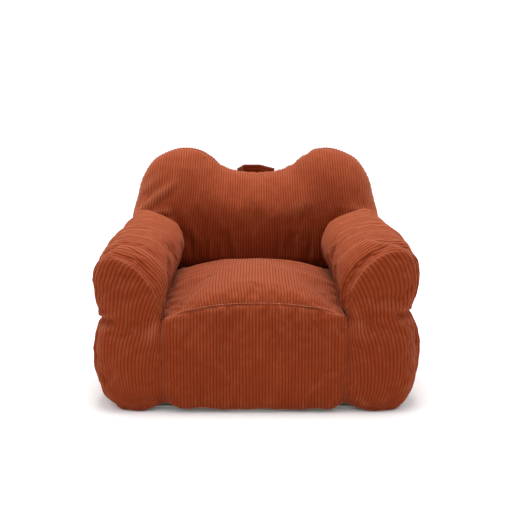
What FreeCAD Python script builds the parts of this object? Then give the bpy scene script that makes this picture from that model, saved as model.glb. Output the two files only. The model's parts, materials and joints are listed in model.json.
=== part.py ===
import FreeCAD, Part
import Sketcher
import math
import os
from FreeCAD import Placement, Rotation, Vector

# Bean bag chair: a sewn corduroy cover in panels, with two arms, a seat and a back that
# ends in two rounded lobes. Under each part of the cover lies a liner bag of shredded foam.
# +X runs to the right as seen from the front, +Y to the back and +Z up, and the origin is
# on the floor under the middle of the chair. Left and right in the names are as seen from
# the front too. Millimetres.

doc = FreeCAD.newDocument("bean_bag_chair")
sheet = doc.addObject("Spreadsheet::Sheet", "Dims")

DIMENSIONS = {
    # overall places of the four stuffed chambers
    "front_y": -391,
    "arm_rear_y": 148,
    "back_front_y": 150,
    "back_rear_y": 384.6,
    "seat_half_width": 250,
    "seat_top": 340,
    "seat_side_radius": 60,
    "arm_inner_x": 235,
    "arm_foot_inner_x": 254,
    "overhang_low": 320,
    "overhang_high": 354,
    "arm_outer_x": 425,
    "arm_top": 450,
    "arm_foot_radius": 45,
    "waist_height": 262,
    "waist_depth": 18,
    "waist_half_height": 24,
    "front_rim_radius": 40,
    # back and its two upper lobes
    "back_foot_x": 412,
    "lobe_centre_x": 225,
    "lobe_centre_z": 505,
    "lobe_radius": 140,
    "dip_radius": 256,
    "back_rim_radius": 95,
    "back_seam_y": 265,
    # cloth layers
    "cover_thickness": 3,
    "liner_thickness": 1.5,
    "layer_gap": 0.5,
    "seat_seam_height": 290,
    "base_half_width": 380,
    "base_front_y": -351,
    "base_rear_y": 345,
    # zip across the lower part of the outside back
    "zip_height": 120,
    "zip_half_length": 300,
    "zip_half_width": 20,
    "tape_thickness": 1.2,
    "coil_radius": 1.3,
    "coil_offset": 1.45,
    "tape_inner_edge": 2.9,
    "stop_length": 3,
    "stop_height": 6.4,
    "stop_inset": 4,
    "slider_closed_x": -284,
    "slider_length": 10,
    "slider_height": 9,
    "slider_gap": 0.3,
    "slider_plate": 1.4,
    "bail_inside": 3.2,
    "bail_bar": 1.2,
    "bail_width": 2.4,
    "bail_inset": 0.6,
    "pull_length": 26,
    "pull_width": 7,
    "pull_thickness": 1.2,
    "pull_window_start": 1.1,
    "pull_window_length": 5.2,
    "pull_window_width": 4,
    "pull_bar": 0.7,
    # carry handle behind the dip
    "handle_axis_y": 339,
    "handle_axis_z": 565,
    "handle_tilt": 12,
    "handle_half_base": 53,
    "handle_half_top": 33,
    "handle_start": 15,
    "handle_rise": 34,
    "handle_thickness": 5,
    "handle_inner_half_base": 46.5,
    "handle_inner_half_top": 30.25,
    "handle_width": 26,
    "handle_bend_radius": 7,
    "handle_end_length": 34,
    "handle_end_inner_x": 48,
    "handle_end_depth": 14,
    "handle_end_proud": 4,
    # trims
    "stitch_half_length": 208,
    "stitch_radius": 0.5,
    "stitch_drop": 5,
    "label_x": -250,
    "label_height": 178,
    "label_width": 40,
    "label_drop": 28,
    "label_thickness": 0.6,
}

for row, (alias, number) in enumerate(DIMENSIONS.items(), start=1):
    sheet.set(f"A{row}", alias)
    sheet.set(f"B{row}", str(number))
    sheet.setAlias(f"B{row}", alias)
doc.recompute()

# Depth below the cover's outer face at which each layer's surface lies.
OUTER = "0"
COVER_INSIDE = "Dims.cover_thickness"
LINER_OUTSIDE = "(Dims.cover_thickness + Dims.layer_gap)"
LINER_INSIDE = "(Dims.cover_thickness + Dims.layer_gap + Dims.liner_thickness)"
FILL = "(Dims.cover_thickness + 2 * Dims.layer_gap + Dims.liner_thickness)"

# How far a cutting tool passes a surface that it cuts, and starts in front of the chair.
PAST = 1
CLEAR = 10

nodes = {}


def value(expression):
    """Number that an expression on the sheet gives."""
    result = sheet.evalExpression(expression)
    return float(getattr(result, "Value", result))


def new_sketch(body, name, plane, offset="0"):
    """Sketch on one of the body's origin planes, moved along the plane's normal."""
    sketch = body.newObject("Sketcher::SketchObject", name)
    face = [f for f in body.Origin.OriginFeatures if f.Role == plane][0]
    sketch.AttachmentSupport = [(face, "")]
    sketch.MapMode = "FlatFace"
    sketch.setExpression("AttachmentOffset.Base.z", offset)
    return sketch


def pin(sketch, geometry, position, point):
    """Holds a point of the sketch at two expressions measured from its origin."""
    for kind, expression in zip(("DistanceX", "DistanceY"), point):
        number = sketch.addConstraint(
            Sketcher.Constraint(kind, -1, 1, geometry, position, value(expression))
        )
        sketch.setExpression(f"Constraints[{number}]", expression)


def draw_outline(sketch, points, radii=None):
    """Closed anticlockwise outline through pinned points; radii[i] rounds point i to the next."""
    radii = radii or {}
    places = [Vector(value(x), value(y), 0) for x, y in points]
    for i, start in enumerate(places):
        end = places[(i + 1) % len(places)]
        if i in radii:
            radius = value(radii[i])
            chord = end - start
            outward = Vector(chord.y, -chord.x, 0).normalize()
            sagitta = radius - math.sqrt(radius**2 - (chord.Length / 2) ** 2)
            middle = (start + end) * 0.5 + outward * sagitta
            sketch.addGeometry(Part.Arc(start, middle, end), False)
        else:
            sketch.addGeometry(Part.LineSegment(start, end), False)
    for i in range(len(places)):
        following = (i + 1) % len(places)
        sketch.addConstraint(Sketcher.Constraint("Coincident", i, 2, following, 1))
        pin(sketch, i, 1, points[i])
    for i, expression in radii.items():
        number = sketch.addConstraint(Sketcher.Constraint("Radius", i, value(expression)))
        sketch.setExpression(f"Constraints[{number}]", expression)


def pad(body, sketch, length, reverse=False, midplane=False):
    """Pad of a sketch by a length expression."""
    feature = body.newObject("PartDesign::Pad", sketch.Name + "_pad")
    feature.Profile = sketch
    feature.setExpression("Length", length)
    feature.Reversed = reverse
    feature.Midplane = midplane
    doc.recompute()
    return feature


def round_rim(body, base, y_places, radius):
    """Fillet on every edge that lies in one of the planes y, apart from the one on the floor."""
    names = []
    floor = base.Shape.BoundBox.ZMin + 0.01
    for number, edge in enumerate(base.Shape.Edges, start=1):
        box = edge.BoundBox
        in_plane = any(abs(box.YMin - y) < 0.01 and abs(box.YMax - y) < 0.01 for y in y_places)
        if in_plane and box.ZMax > floor:
            names.append(f"Edge{number}")
    feature = body.newObject("PartDesign::Fillet", body.Name + "_rim")
    feature.Base = (base, names)
    feature.setExpression("Radius", radius)
    doc.recompute()
    return feature


def box(name, x, y, z):
    """Part::Box between pairs of expressions for its low and high faces."""
    solid = doc.addObject("Part::Box", name)
    for size, place, (low, high) in zip(("Length", "Width", "Height"), "xyz", (x, y, z)):
        solid.setExpression(size, f"({high}) - ({low})")
        solid.setExpression(f"Placement.Base.{place}", str(low))
    return solid


def rod(name, x_low, x_high, y, z, radius):
    """Cylinder along X."""
    solid = doc.addObject("Part::Cylinder", name)
    solid.Placement = Placement(Vector(), Rotation(Vector(0, 1, 0), 90))
    solid.setExpression("Radius", radius)
    solid.setExpression("Height", f"({x_high}) - ({x_low})")
    solid.setExpression("Placement.Base.x", x_low)
    solid.setExpression("Placement.Base.y", y)
    solid.setExpression("Placement.Base.z", z)
    return solid


def boolean(kind, name, base, tool):
    """Part::Cut or Part::Common of two objects."""
    result = doc.addObject(f"Part::{kind}", name)
    result.Base = base
    result.Tool = tool
    return result


def fuse(name, shapes):
    """Union of several objects."""
    result = doc.addObject("Part::MultiFuse", name)
    result.Shapes = shapes
    return result


def keep(node, solid):
    """Gives an object the name of the sub-part that it is."""
    solid.Label = node
    nodes[node] = solid


def keep_pair(node, right):
    """Keeps a right-hand sub-part and its mirror image on the other side."""
    keep(f"right_{node}", right)
    left = doc.addObject("Part::Mirroring", f"left_{node}_mirror")
    left.Source = right
    left.Base = Vector(0, 0, 0)
    left.Normal = Vector(1, 0, 0)
    keep(f"left_{node}", left)


# ---- The stuffed chambers, each drawn once and repeated at each layer's depth


def chamber(name, draw, front, rear, inset, rims):
    """Body padded from its front outline to its rear, with a rounded rim at front or both."""
    body = doc.addObject("PartDesign::Body", name)
    sketch = new_sketch(body, f"{name}_outline", "XZ_Plane", f"-({front}) - {inset}")
    draw(sketch, inset)
    block = pad(body, sketch, f"({rear}) - ({front}) - 2 * {inset}", reverse=True)
    places = [value(f"{front} + {inset}"), value(f"{rear} - {inset}")]
    radius = "Dims.back_rim_radius" if rims == 2 else "Dims.front_rim_radius"
    round_rim(body, block, places[:rims], f"{radius} - {inset}")
    return body


def seat_outline(sketch, inset):
    half = f"Dims.seat_half_width - {inset}"
    top = f"Dims.seat_top - {inset}"
    radius = f"Dims.seat_side_radius - {inset}"
    points = [
        (f"-({half})", inset),
        (half, inset),
        (half, f"{top} - ({radius})"),
        (f"{half} - ({radius})", top),
        (f"-({half}) + {radius}", top),
        (f"-({half})", f"{top} - ({radius})"),
    ]
    draw_outline(sketch, points, {2: radius, 4: radius})


def arm_outline(sketch, inset):
    inner = f"Dims.arm_inner_x + {inset}"
    outer = f"Dims.arm_outer_x - {inset}"
    top = f"Dims.arm_top - {inset}"
    foot = f"Dims.arm_foot_radius - {inset}"
    crown = f"(Dims.arm_outer_x - Dims.arm_inner_x) / 2 - {inset}"
    points = [
        (inner, inset),
        (f"{outer} - ({foot})", inset),
        (outer, f"{inset} + {foot}"),
        (outer, f"{top} - ({crown})"),
        (f"{outer} - ({crown})", top),
        (inner, f"{top} - ({crown})"),
    ]
    draw_outline(sketch, points, {1: foot, 3: crown, 4: crown})


def back_outline(sketch, inset):
    """Straight flanks that run into the two lobes, which a hollow arc joins."""
    foot = f"Dims.back_foot_x - {inset}"
    lobe = f"Dims.lobe_radius - {inset}"
    dip = f"Dims.dip_radius + {inset}"
    centre_x = value("Dims.lobe_centre_x")
    centre_z = value("Dims.lobe_centre_z")
    radius = value(lobe)
    reach = Vector(centre_x - value(foot), centre_z, 0)
    flank = math.atan2(reach.y, reach.x) - math.asin(radius / reach.Length) - math.pi / 2
    hollow = math.acos(centre_x / (radius + value(dip)))
    dip_z = centre_z + (radius + value(dip)) * math.sin(hollow)
    right = Vector(centre_x, centre_z, 0)
    left = Vector(-centre_x, centre_z, 0)
    up = Vector(0, 0, 1)

    def arc(centre, size, start, end):
        return Part.ArcOfCircle(Part.Circle(centre, up, size), start, end)

    right_lobe = arc(right, radius, flank, math.pi - hollow)
    hollow_arc = arc(Vector(0, dip_z, 0), value(dip), math.pi + hollow, 2 * math.pi - hollow)
    left_lobe = arc(left, radius, hollow, math.pi - flank)
    corner = Vector(value(foot), value(inset), 0)
    other = Vector(-corner.x, corner.y, 0)
    sketch.addGeometry(Part.LineSegment(other, corner), False)
    sketch.addGeometry(Part.LineSegment(corner, right_lobe.StartPoint), False)
    sketch.addGeometry(right_lobe, False)
    sketch.addGeometry(hollow_arc, False)
    sketch.addGeometry(left_lobe, False)
    sketch.addGeometry(Part.LineSegment(left_lobe.EndPoint, other), False)
    sketch.addConstraint(Sketcher.Constraint("Coincident", 0, 2, 1, 1))
    sketch.addConstraint(Sketcher.Constraint("Coincident", 5, 2, 0, 1))
    joins = ((1, 2, 2, 1), (2, 2, 3, 2), (3, 1, 4, 1), (4, 2, 5, 1))
    for join in joins:
        sketch.addConstraint(Sketcher.Constraint("Tangent", *join))
    pin(sketch, 0, 1, (f"-({foot})", inset))
    pin(sketch, 0, 2, (foot, inset))
    pin(sketch, 2, 3, ("Dims.lobe_centre_x", "Dims.lobe_centre_z"))
    pin(sketch, 4, 3, ("-Dims.lobe_centre_x", "Dims.lobe_centre_z"))
    for geometry, size in ((2, lobe), (3, dip), (4, lobe)):
        number = sketch.addConstraint(Sketcher.Constraint("Radius", geometry, value(size)))
        sketch.setExpression(f"Constraints[{number}]", size)


def pinch_waist(body, inset):
    """V-shaped groove along the arm's outer side, where the waist seam draws it in."""
    sketch = new_sketch(body, f"{body.Name}_waist", "XZ_Plane", f"-Dims.front_y + {CLEAR}")
    outer = f"Dims.arm_outer_x - {inset}"
    slope = "Dims.waist_half_height / Dims.waist_depth"
    reach = f"Dims.waist_half_height + {slope}"
    points = [
        (f"{outer} - Dims.waist_depth", "Dims.waist_height"),
        (f"{outer} + {PAST}", f"Dims.waist_height - ({reach})"),
        (f"{outer} + {PAST}", f"Dims.waist_height + {reach}"),
    ]
    draw_outline(sketch, points)
    cut_through(body, sketch)


def cut_overhang(body, inset):
    """Clears the arm's inner side below its bulge, where the seat's filling lies against it."""
    sketch = new_sketch(body, f"{body.Name}_overhang", "XZ_Plane", f"-Dims.front_y + {CLEAR}")
    inner = f"Dims.arm_inner_x + {inset}"
    foot = f"Dims.arm_foot_inner_x + {inset}"
    points = [
        (f"{inner} - {PAST}", f"-{PAST}"),
        (foot, f"-{PAST}"),
        (foot, "Dims.overhang_low"),
        (f"{inner} - {PAST}", "Dims.overhang_high"),
    ]
    draw_outline(sketch, points)
    cut_through(body, sketch)


def cut_through(body, sketch):
    """Pocket of a sketch through the whole body, which has to take some of it away."""
    before = body.Shape.Volume
    pocket = body.newObject("PartDesign::Pocket", f"{sketch.Name}_pocket")
    pocket.Profile = sketch
    pocket.Type = "ThroughAll"
    doc.recompute()
    if body.Shape.Volume >= before:
        raise RuntimeError(f"{sketch.Name} cut nothing")


def seat_chamber(name, inset):
    return chamber(name, seat_outline, "Dims.front_y", "Dims.arm_rear_y", inset, 1)


def arm_chamber(name, inset):
    body = chamber(name, arm_outline, "Dims.front_y", "Dims.arm_rear_y", inset, 1)
    pinch_waist(body, inset)
    cut_overhang(body, inset)
    return body


def back_chamber(name, inset):
    return chamber(name, back_outline, "Dims.back_front_y", "Dims.back_rear_y", inset, 2)


# Reach of the boxes that divide the cover into its panels: well past the whole chair.
FAR = 800


def base_block(name):
    return box(
        name,
        ("-Dims.base_half_width", "Dims.base_half_width"),
        ("Dims.base_front_y", "Dims.base_rear_y"),
        ("0", "Dims.cover_thickness"),
    )


def cover_shell(name, make):
    """A chamber's cover cloth as a closed skin, open where the base panel goes."""
    outer = make(f"{name}_cover_outside", OUTER)
    inner = make(f"{name}_cover_inside", COVER_INSIDE)
    skin = boolean("Cut", f"{name}_skin", outer, inner)
    return boolean("Cut", f"{name}_open_skin", skin, base_block(f"{name}_base_gap"))


def liner_and_fill(name, make, keeper):
    """The chamber's liner bag and the shredded foam in it."""
    outer = make(f"{name}_liner_outside", LINER_OUTSIDE)
    inner = make(f"{name}_liner_inside", LINER_INSIDE)
    keeper(f"{name}_liner", boolean("Cut", f"{name}_liner_skin", outer, inner))
    keeper(f"{name}_fill", make(f"{name}_fill_body", FILL))


def make_seat():
    """Seat panel over the top, front panel below the top-stitched seam, liner and filling."""
    skin = cover_shell("seat", seat_chamber)
    width = (-FAR, FAR)
    inside_rear = "Dims.arm_rear_y - Dims.cover_thickness"
    top = box(
        "seat_panel_region", width, (-FAR, inside_rear), ("Dims.seat_seam_height", FAR)
    )
    front = box(
        "front_panel_region", width, (-FAR, "Dims.base_front_y"), (-FAR, "Dims.seat_seam_height")
    )
    keep("seat_panel", boolean("Common", "seat_panel_skin", skin, top))
    keep("front_panel", boolean("Common", "front_panel_skin", skin, front))
    liner_and_fill("seat", seat_chamber, keep)


def make_arms():
    """Each arm: wrap panel, front panel, side panel, partition to the seat, liner, filling."""
    skin = cover_shell("arm", arm_chamber)
    length = ("Dims.base_front_y", f"Dims.arm_rear_y + {PAST}")
    above = ("Dims.waist_height", FAR)
    below = (-FAR, "Dims.waist_height")
    wrap = box("arm_panel_region", (0, FAR), length, above)
    cap = box("arm_front_region", (0, FAR), (-FAR, "Dims.base_front_y"), (-FAR, FAR))
    side = box("side_panel_region", (f"Dims.base_half_width - {PAST}", FAR), length, below)
    partition = box("arm_partition_region", (0, f"Dims.base_half_width - {PAST}"), length, below)
    keep_pair("arm_panel", boolean("Common", "arm_panel_skin", skin, wrap))
    keep_pair("arm_front_panel", boolean("Common", "arm_front_skin", skin, cap))
    keep_pair("side_panel", boolean("Common", "side_panel_skin", skin, side))
    keep_pair("arm_partition", boolean("Common", "arm_partition_skin", skin, partition))
    liner_and_fill("arm", arm_chamber, keep_pair)


def make_back():
    """Inside back with the lobes' fronts, outside back round the sides, partition, filling."""
    skin = cover_shell("back", back_chamber)
    width = (-FAR, FAR)
    front = box(
        "inside_back_region", width, (0, "Dims.back_seam_y"), ("Dims.waist_height", FAR)
    )
    wall = ("Dims.back_front_y", "Dims.back_front_y + Dims.cover_thickness")
    partition = box(
        "back_partition_region",
        ("-Dims.seat_half_width", "Dims.seat_half_width"),
        wall,
        ("Dims.cover_thickness", "Dims.waist_height"),
    )
    keep("inside_back_panel", boolean("Common", "inside_back_skin", skin, front))
    keep("back_partition", boolean("Common", "back_partition_skin", skin, partition))
    rear = boolean("Cut", "rear_skin", boolean("Cut", "rear_and_wall", skin, front), partition)
    slot = box(
        "zip_slot",
        ("-Dims.zip_half_length", "Dims.zip_half_length"),
        (f"Dims.back_rear_y - {CLEAR}", f"Dims.back_rear_y + {CLEAR}"),
        ("Dims.zip_height - Dims.zip_half_width", "Dims.zip_height + Dims.zip_half_width"),
    )
    keep("outside_back_panel", boolean("Cut", "outside_back_skin", rear, slot))
    liner_and_fill("back", back_chamber, keep)


def make_base():
    """Lining cloth under the chair, inside the edge of the cover."""
    keep("base_panel", base_block("base_panel_block"))


# ---- Zip across the outside back


def make_zip():
    """Two tapes with a coil on each, an end stop at either end, slider and pull tab."""
    ends = ("-Dims.zip_half_length", "Dims.zip_half_length")
    thick = ("Dims.back_rear_y - Dims.tape_thickness", "Dims.back_rear_y")
    for name, sign in (("upper", "+"), ("lower", "-")):
        near = f"Dims.zip_height {sign} Dims.tape_inner_edge"
        far = f"Dims.zip_height {sign} Dims.zip_half_width"
        height = (near, far) if sign == "+" else (far, near)
        keep(f"zip_tape_{name}", box(f"tape_{name}", ends, thick, height))
        coil = rod(
            f"coil_{name}",
            "-Dims.zip_half_length + 2 * Dims.stop_inset",
            "Dims.zip_half_length - 2 * Dims.stop_inset",
            "Dims.back_rear_y",
            f"Dims.zip_height {sign} Dims.coil_offset",
            "Dims.coil_radius",
        )
        keep(f"zip_coil_{name}", coil)
    for name, low in (
        ("left", "-Dims.zip_half_length + Dims.stop_inset"),
        ("right", "Dims.zip_half_length - Dims.stop_inset - Dims.stop_length"),
    ):
        stop = box(
            f"stop_{name}",
            (low, f"{low} + Dims.stop_length"),
            ("Dims.back_rear_y", "Dims.back_rear_y + Dims.coil_radius"),
            (
                "Dims.zip_height - Dims.stop_height / 2",
                "Dims.zip_height + Dims.stop_height / 2",
            ),
        )
        keep(f"zip_stop_{name}", stop)
    make_slider()
    make_pull_tab()


PLATE_TOP = "(Dims.back_rear_y + Dims.coil_radius + Dims.slider_gap + Dims.slider_plate)"
PULL_AXIS_Y = f"({PLATE_TOP} + Dims.bail_inside / 2)"


def make_slider():
    """Plate over the coils with the bail that holds the pull tab."""
    half = "Dims.slider_length / 2"
    plate = box(
        "slider_plate_box",
        (f"Dims.slider_closed_x - {half}", f"Dims.slider_closed_x + {half}"),
        (f"{PLATE_TOP} - Dims.slider_plate", PLATE_TOP),
        (
            "Dims.zip_height - Dims.slider_height / 2",
            "Dims.zip_height + Dims.slider_height / 2",
        ),
    )
    across = ("Dims.zip_height - Dims.bail_width / 2", "Dims.zip_height + Dims.bail_width / 2")
    start = f"Dims.slider_closed_x - {half} + Dims.bail_inset"
    finish = f"Dims.slider_closed_x + {half} - Dims.bail_inset"
    roof = f"{PLATE_TOP} + Dims.bail_inside"
    parts = [plate]
    for name, low in (("near", start), ("far", f"{finish} - Dims.bail_bar")):
        leg = box(f"bail_{name}", (low, f"{low} + Dims.bail_bar"), (PLATE_TOP, roof), across)
        parts.append(leg)
    parts.append(box("bail_top", (start, finish), (roof, f"{roof} + Dims.bail_bar"), across))
    keep("zip_slider", fuse("slider_body", parts))


def make_pull_tab():
    """Flat tab with a window that the bail passes through."""
    body = doc.addObject("PartDesign::Body", "pull_body")
    sketch = new_sketch(body, "pull_outline", "XZ_Plane", f"-{PULL_AXIS_Y}")
    width = "Dims.pull_width / 2"
    low, high = f"Dims.zip_height - {width}", f"Dims.zip_height + {width}"
    left = "Dims.slider_closed_x - Dims.pull_bar"
    right = "Dims.slider_closed_x + Dims.pull_length"
    draw_outline(sketch, [(left, low), (right, low), (right, high), (left, high)])
    plate = pad(body, sketch, "Dims.pull_thickness", midplane=True)
    window = new_sketch(body, "pull_window", "XZ_Plane", f"-{PULL_AXIS_Y}")
    left = "Dims.slider_closed_x + Dims.pull_window_start"
    right = f"{left} + Dims.pull_window_length"
    low = "Dims.zip_height - Dims.pull_window_width / 2"
    high = "Dims.zip_height + Dims.pull_window_width / 2"
    draw_outline(window, [(left, low), (right, low), (right, high), (left, high)])
    hole = body.newObject("PartDesign::Pocket", "pull_hole")
    hole.Profile = window
    hole.Type = "ThroughAll"
    hole.Midplane = True
    doc.recompute()
    if hole.Shape.Volume >= plate.Shape.Volume:
        raise RuntimeError("the pull tab's window cut nothing")
    keep("zip_pull_tab", body)


# ---- Carry handle


def make_handle():
    """Doubled strap that stands up as a flat-topped arch from its two sewn-down ends."""
    body = doc.addObject("PartDesign::Body", "handle_body")
    sketch = new_sketch(body, "handle_outline", "XY_Plane")
    base, top = "Dims.handle_half_base", "Dims.handle_half_top"
    start, rise, thick = "Dims.handle_start", "Dims.handle_rise", "Dims.handle_thickness"
    inner_base, inner_top = "Dims.handle_inner_half_base", "Dims.handle_inner_half_top"
    points = [
        (inner_base, start),
        (base, start),
        (top, rise),
        (f"-{top}", rise),
        (f"-{base}", start),
        (f"-{inner_base}", start),
        (f"-{inner_top}", f"{rise} - {thick}"),
        (inner_top, f"{rise} - {thick}"),
    ]
    draw_outline(sketch, points)
    band = pad(body, sketch, "Dims.handle_width", midplane=True)
    names = []
    for number, edge in enumerate(band.Shape.Edges, start=1):
        across = edge.BoundBox.ZLength > value("Dims.handle_width") - 0.01
        if across and edge.CenterOfMass.y > value("Dims.handle_start") + PAST:
            names.append(f"Edge{number}")
    bends = body.newObject("PartDesign::Fillet", "handle_bends")
    bends.Base = (band, names)
    bends.setExpression("Radius", "Dims.handle_bend_radius")
    body.Placement = Placement(Vector(), Rotation(Vector(1, 0, 0), value("Dims.handle_tilt")))
    body.setExpression("Placement.Base.y", "Dims.handle_axis_y")
    body.setExpression("Placement.Base.z", "Dims.handle_axis_z")
    keep("carry_handle", body)


def make_handle_ends():
    """The strap's ends, turned out flat and sewn down on the back."""
    inner = "Dims.handle_end_inner_x"
    tab = doc.addObject("Part::Box", "handle_end_box")
    tab.setExpression("Length", "Dims.handle_end_length")
    tab.setExpression("Width", "Dims.handle_width")
    tab.setExpression("Height", "Dims.handle_end_depth")
    rim = value("Dims.back_rim_radius")
    slope = math.asin((value("Dims.handle_axis_y - Dims.back_rear_y") + rim) / rim)
    tab.Placement = Placement(Vector(), Rotation(Vector(1, 0, 0), -math.degrees(slope)))
    along = Vector(0, math.cos(slope), -math.sin(slope)) * (value("Dims.handle_width") / 2)
    sunk = value("Dims.handle_end_depth - Dims.handle_end_proud")
    inward = Vector(0, -math.sin(slope), -math.cos(slope)) * sunk
    shift = inward - along
    tab.setExpression("Placement.Base.x", inner)
    tab.setExpression("Placement.Base.y", f"Dims.handle_axis_y + ({shift.y})")
    tab.setExpression("Placement.Base.z", f"Dims.handle_axis_z + ({shift.z})")
    trimmer = back_chamber("handle_end_trimmer", OUTER)
    keep_pair("handle_end", boolean("Cut", "handle_end_trimmed", tab, trimmer))


# ---- Small trims


def make_trims():
    """Pale top-stitch just above the front seam, and a blank care label at the rear."""
    stitch = rod(
        "stitch_rod",
        "-Dims.stitch_half_length",
        "Dims.stitch_half_length",
        "Dims.front_y - Dims.stitch_radius",
        "Dims.seat_seam_height - Dims.stitch_drop",
        "Dims.stitch_radius",
    )
    keep("seat_front_stitch", stitch)
    label = box(
        "label_box",
        ("Dims.label_x", "Dims.label_x + Dims.label_width"),
        ("Dims.back_rear_y", "Dims.back_rear_y + Dims.label_thickness"),
        ("Dims.label_height - Dims.label_drop", "Dims.label_height"),
    )
    keep("care_label", label)


def check_document():
    """Stops on a failed object or a sub-part that isn't one or more valid solids."""
    for item in doc.Objects:
        if "Invalid" in item.State or "Error" in item.State:
            raise RuntimeError(f"{item.Label}: {item.State}")
    for node, item in nodes.items():
        shape = item.Shape
        if shape.isNull() or not shape.isValid() or not shape.Solids:
            raise RuntimeError(f"{node}: not a valid solid")
        print(node, len(shape.Solids), round(shape.Volume))


make_base()
make_seat()
make_arms()
make_back()
make_zip()
make_handle()
make_handle_ends()
make_trims()
doc.recompute()
check_document()
os.makedirs("parts", exist_ok=True)
for node, item in nodes.items():
    item.Shape.exportStep(f"parts/{node}.step")
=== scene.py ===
import json
import math
from functools import partial

import bmesh
import bpy
import numpy as np
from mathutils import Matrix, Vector
from mathutils.bvhtree import BVHTree


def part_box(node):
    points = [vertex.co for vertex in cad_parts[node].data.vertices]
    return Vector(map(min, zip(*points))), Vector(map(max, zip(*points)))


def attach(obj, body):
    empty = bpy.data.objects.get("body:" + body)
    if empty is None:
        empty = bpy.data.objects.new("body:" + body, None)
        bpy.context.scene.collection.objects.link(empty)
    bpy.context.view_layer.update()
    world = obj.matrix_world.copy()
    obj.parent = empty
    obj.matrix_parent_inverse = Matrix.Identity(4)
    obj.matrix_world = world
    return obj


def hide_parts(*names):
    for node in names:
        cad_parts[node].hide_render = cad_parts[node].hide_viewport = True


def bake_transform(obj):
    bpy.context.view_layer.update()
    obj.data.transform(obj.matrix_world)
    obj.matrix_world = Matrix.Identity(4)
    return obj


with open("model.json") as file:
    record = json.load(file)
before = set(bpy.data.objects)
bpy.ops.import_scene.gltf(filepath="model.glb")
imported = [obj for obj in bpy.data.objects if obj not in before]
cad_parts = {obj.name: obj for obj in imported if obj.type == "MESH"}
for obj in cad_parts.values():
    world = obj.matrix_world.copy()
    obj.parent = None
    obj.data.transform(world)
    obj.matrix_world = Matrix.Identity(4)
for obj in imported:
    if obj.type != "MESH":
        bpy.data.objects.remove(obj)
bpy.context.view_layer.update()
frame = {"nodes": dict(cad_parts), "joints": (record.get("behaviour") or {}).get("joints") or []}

# ---- Camera, floor and light
# The chair stands on a plain white floor under wide soft lamps, seen from the front and
# a little above.
CAMERA_DISTANCE = 2.6
CAMERA_HEIGHT = 0.88
CAMERA_PITCH = 11.7
CAMERA_SIDE = 0.003
CAMERA_LENS = 61.5
STAGE_GLOW = 0.15
STAGE_WHITE = (0.9, 0.9, 0.9, 1)
DARK = (0, 0, 0, 1)
LIGHT = (1, 1, 1, 1)

camera = bpy.data.objects.new("camera", bpy.data.cameras.new("camera"))
bpy.context.collection.objects.link(camera)
bpy.context.scene.camera = camera
camera.data.sensor_width = 36
camera.data.lens = CAMERA_LENS
camera.location = (CAMERA_SIDE, -CAMERA_DISTANCE, CAMERA_HEIGHT)
camera.rotation_euler = (math.radians(90 - CAMERA_PITCH), 0, 0)


def link_object(name, data):
    item = bpy.data.objects.new(name, data)
    bpy.context.collection.objects.link(item)
    return item


def number_net(points, start=0, closed=False):
    """Numbers of a net's points and its quads; closed joins its last column to its first."""
    rows, columns = points.shape[:2]
    index = np.arange(rows * columns).reshape(rows, columns) + start
    following = np.roll(index, -1, axis=1) if closed else index[:, 1:]
    near = index if closed else index[:, :-1]
    faces = np.stack([near[:-1], following[:-1], following[1:], near[1:]], axis=-1)
    return index, faces.reshape(-1, 4).tolist()


def grid_mesh(name, points, closed=False):
    """Quad mesh through an array of points, rows by columns."""
    mesh = bpy.data.meshes.new(name)
    mesh.from_pydata(points.reshape(-1, 3).tolist(), [], number_net(points, closed=closed)[1])
    mesh.shade_smooth()
    return mesh


class Shade:
    """A socket of a material's nodes, used like a number in Python expressions."""

    def __init__(self, tree, socket=None):
        self.tree = tree
        self.socket = socket

    def node(self, kind, settings=None, inputs=None, output=0):
        """Adds any node: its settings first, then the values or links of its sockets."""
        made = self.tree.nodes.new(kind)
        for key, value in (settings or {}).items():
            setattr(made, key, value)
        for key, value in (inputs or {}).items():
            if isinstance(value, Shade):
                self.tree.links.new(value.socket, made.inputs[key])
            else:
                made.inputs[key].default_value = value
        return Shade(self.tree, made.outputs[output])

    def maths(self, operation, first, second):
        inputs = {0: first, 1: second}
        return self.node("ShaderNodeMath", {"operation": operation}, inputs)

    def __add__(self, other):
        return self.maths("ADD", self, other)

    def __sub__(self, other):
        return self.maths("SUBTRACT", self, other)

    def __rsub__(self, other):
        return self.maths("SUBTRACT", other, self)

    def __mul__(self, other):
        return self.maths("MULTIPLY", self, other)

    __radd__ = __add__
    __rmul__ = __mul__

    def mix(self, first, second):
        """Colour between two colours, with this value as the share of the second."""
        settings = {"data_type": "RGBA", "clamp_factor": True}
        return self.node("ShaderNodeMix", settings, {0: self, 6: first, 7: second}, 2)

    def place(self):
        """Places on the object, in its own metres."""
        return self.node("ShaderNodeTexCoord", output=3)

    def noise(self, scale, detail=2.0, stretch=(1, 1, 1)):
        place = self.node("ShaderNodeMapping", None, {"Vector": self.place(), "Scale": stretch})
        inputs = {"Vector": place, "Scale": scale, "Detail": detail}
        return self.node("ShaderNodeTexNoise", None, inputs)

    def bands(self, direction, scale, distortion, detail=2.0):
        """Even threads across one direction."""
        inputs = {"Vector": self.place(), "Scale": scale, "Distortion": distortion}
        inputs["Detail"] = detail
        return self.node("ShaderNodeTexWave", {"bands_direction": direction}, inputs, 1)

    def drawn(self, name):
        """Values that were worked out with the mesh."""
        return self.node("ShaderNodeAttribute", {"attribute_name": name}, output=2)


def new_finish(name, colour, roughness, **constants):
    """Material with constants on its shader; gives the material, its nodes and the shader."""
    material = bpy.data.materials.new(name)
    material.use_nodes = True
    shader = material.node_tree.nodes["Principled BSDF"]
    shader.inputs["Base Color"].default_value = colour
    shader.inputs["Roughness"].default_value = roughness
    for key, value in constants.items():
        shader.inputs[key.replace("_", " ")].default_value = value
    return material, Shade(material.node_tree), shader


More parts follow.
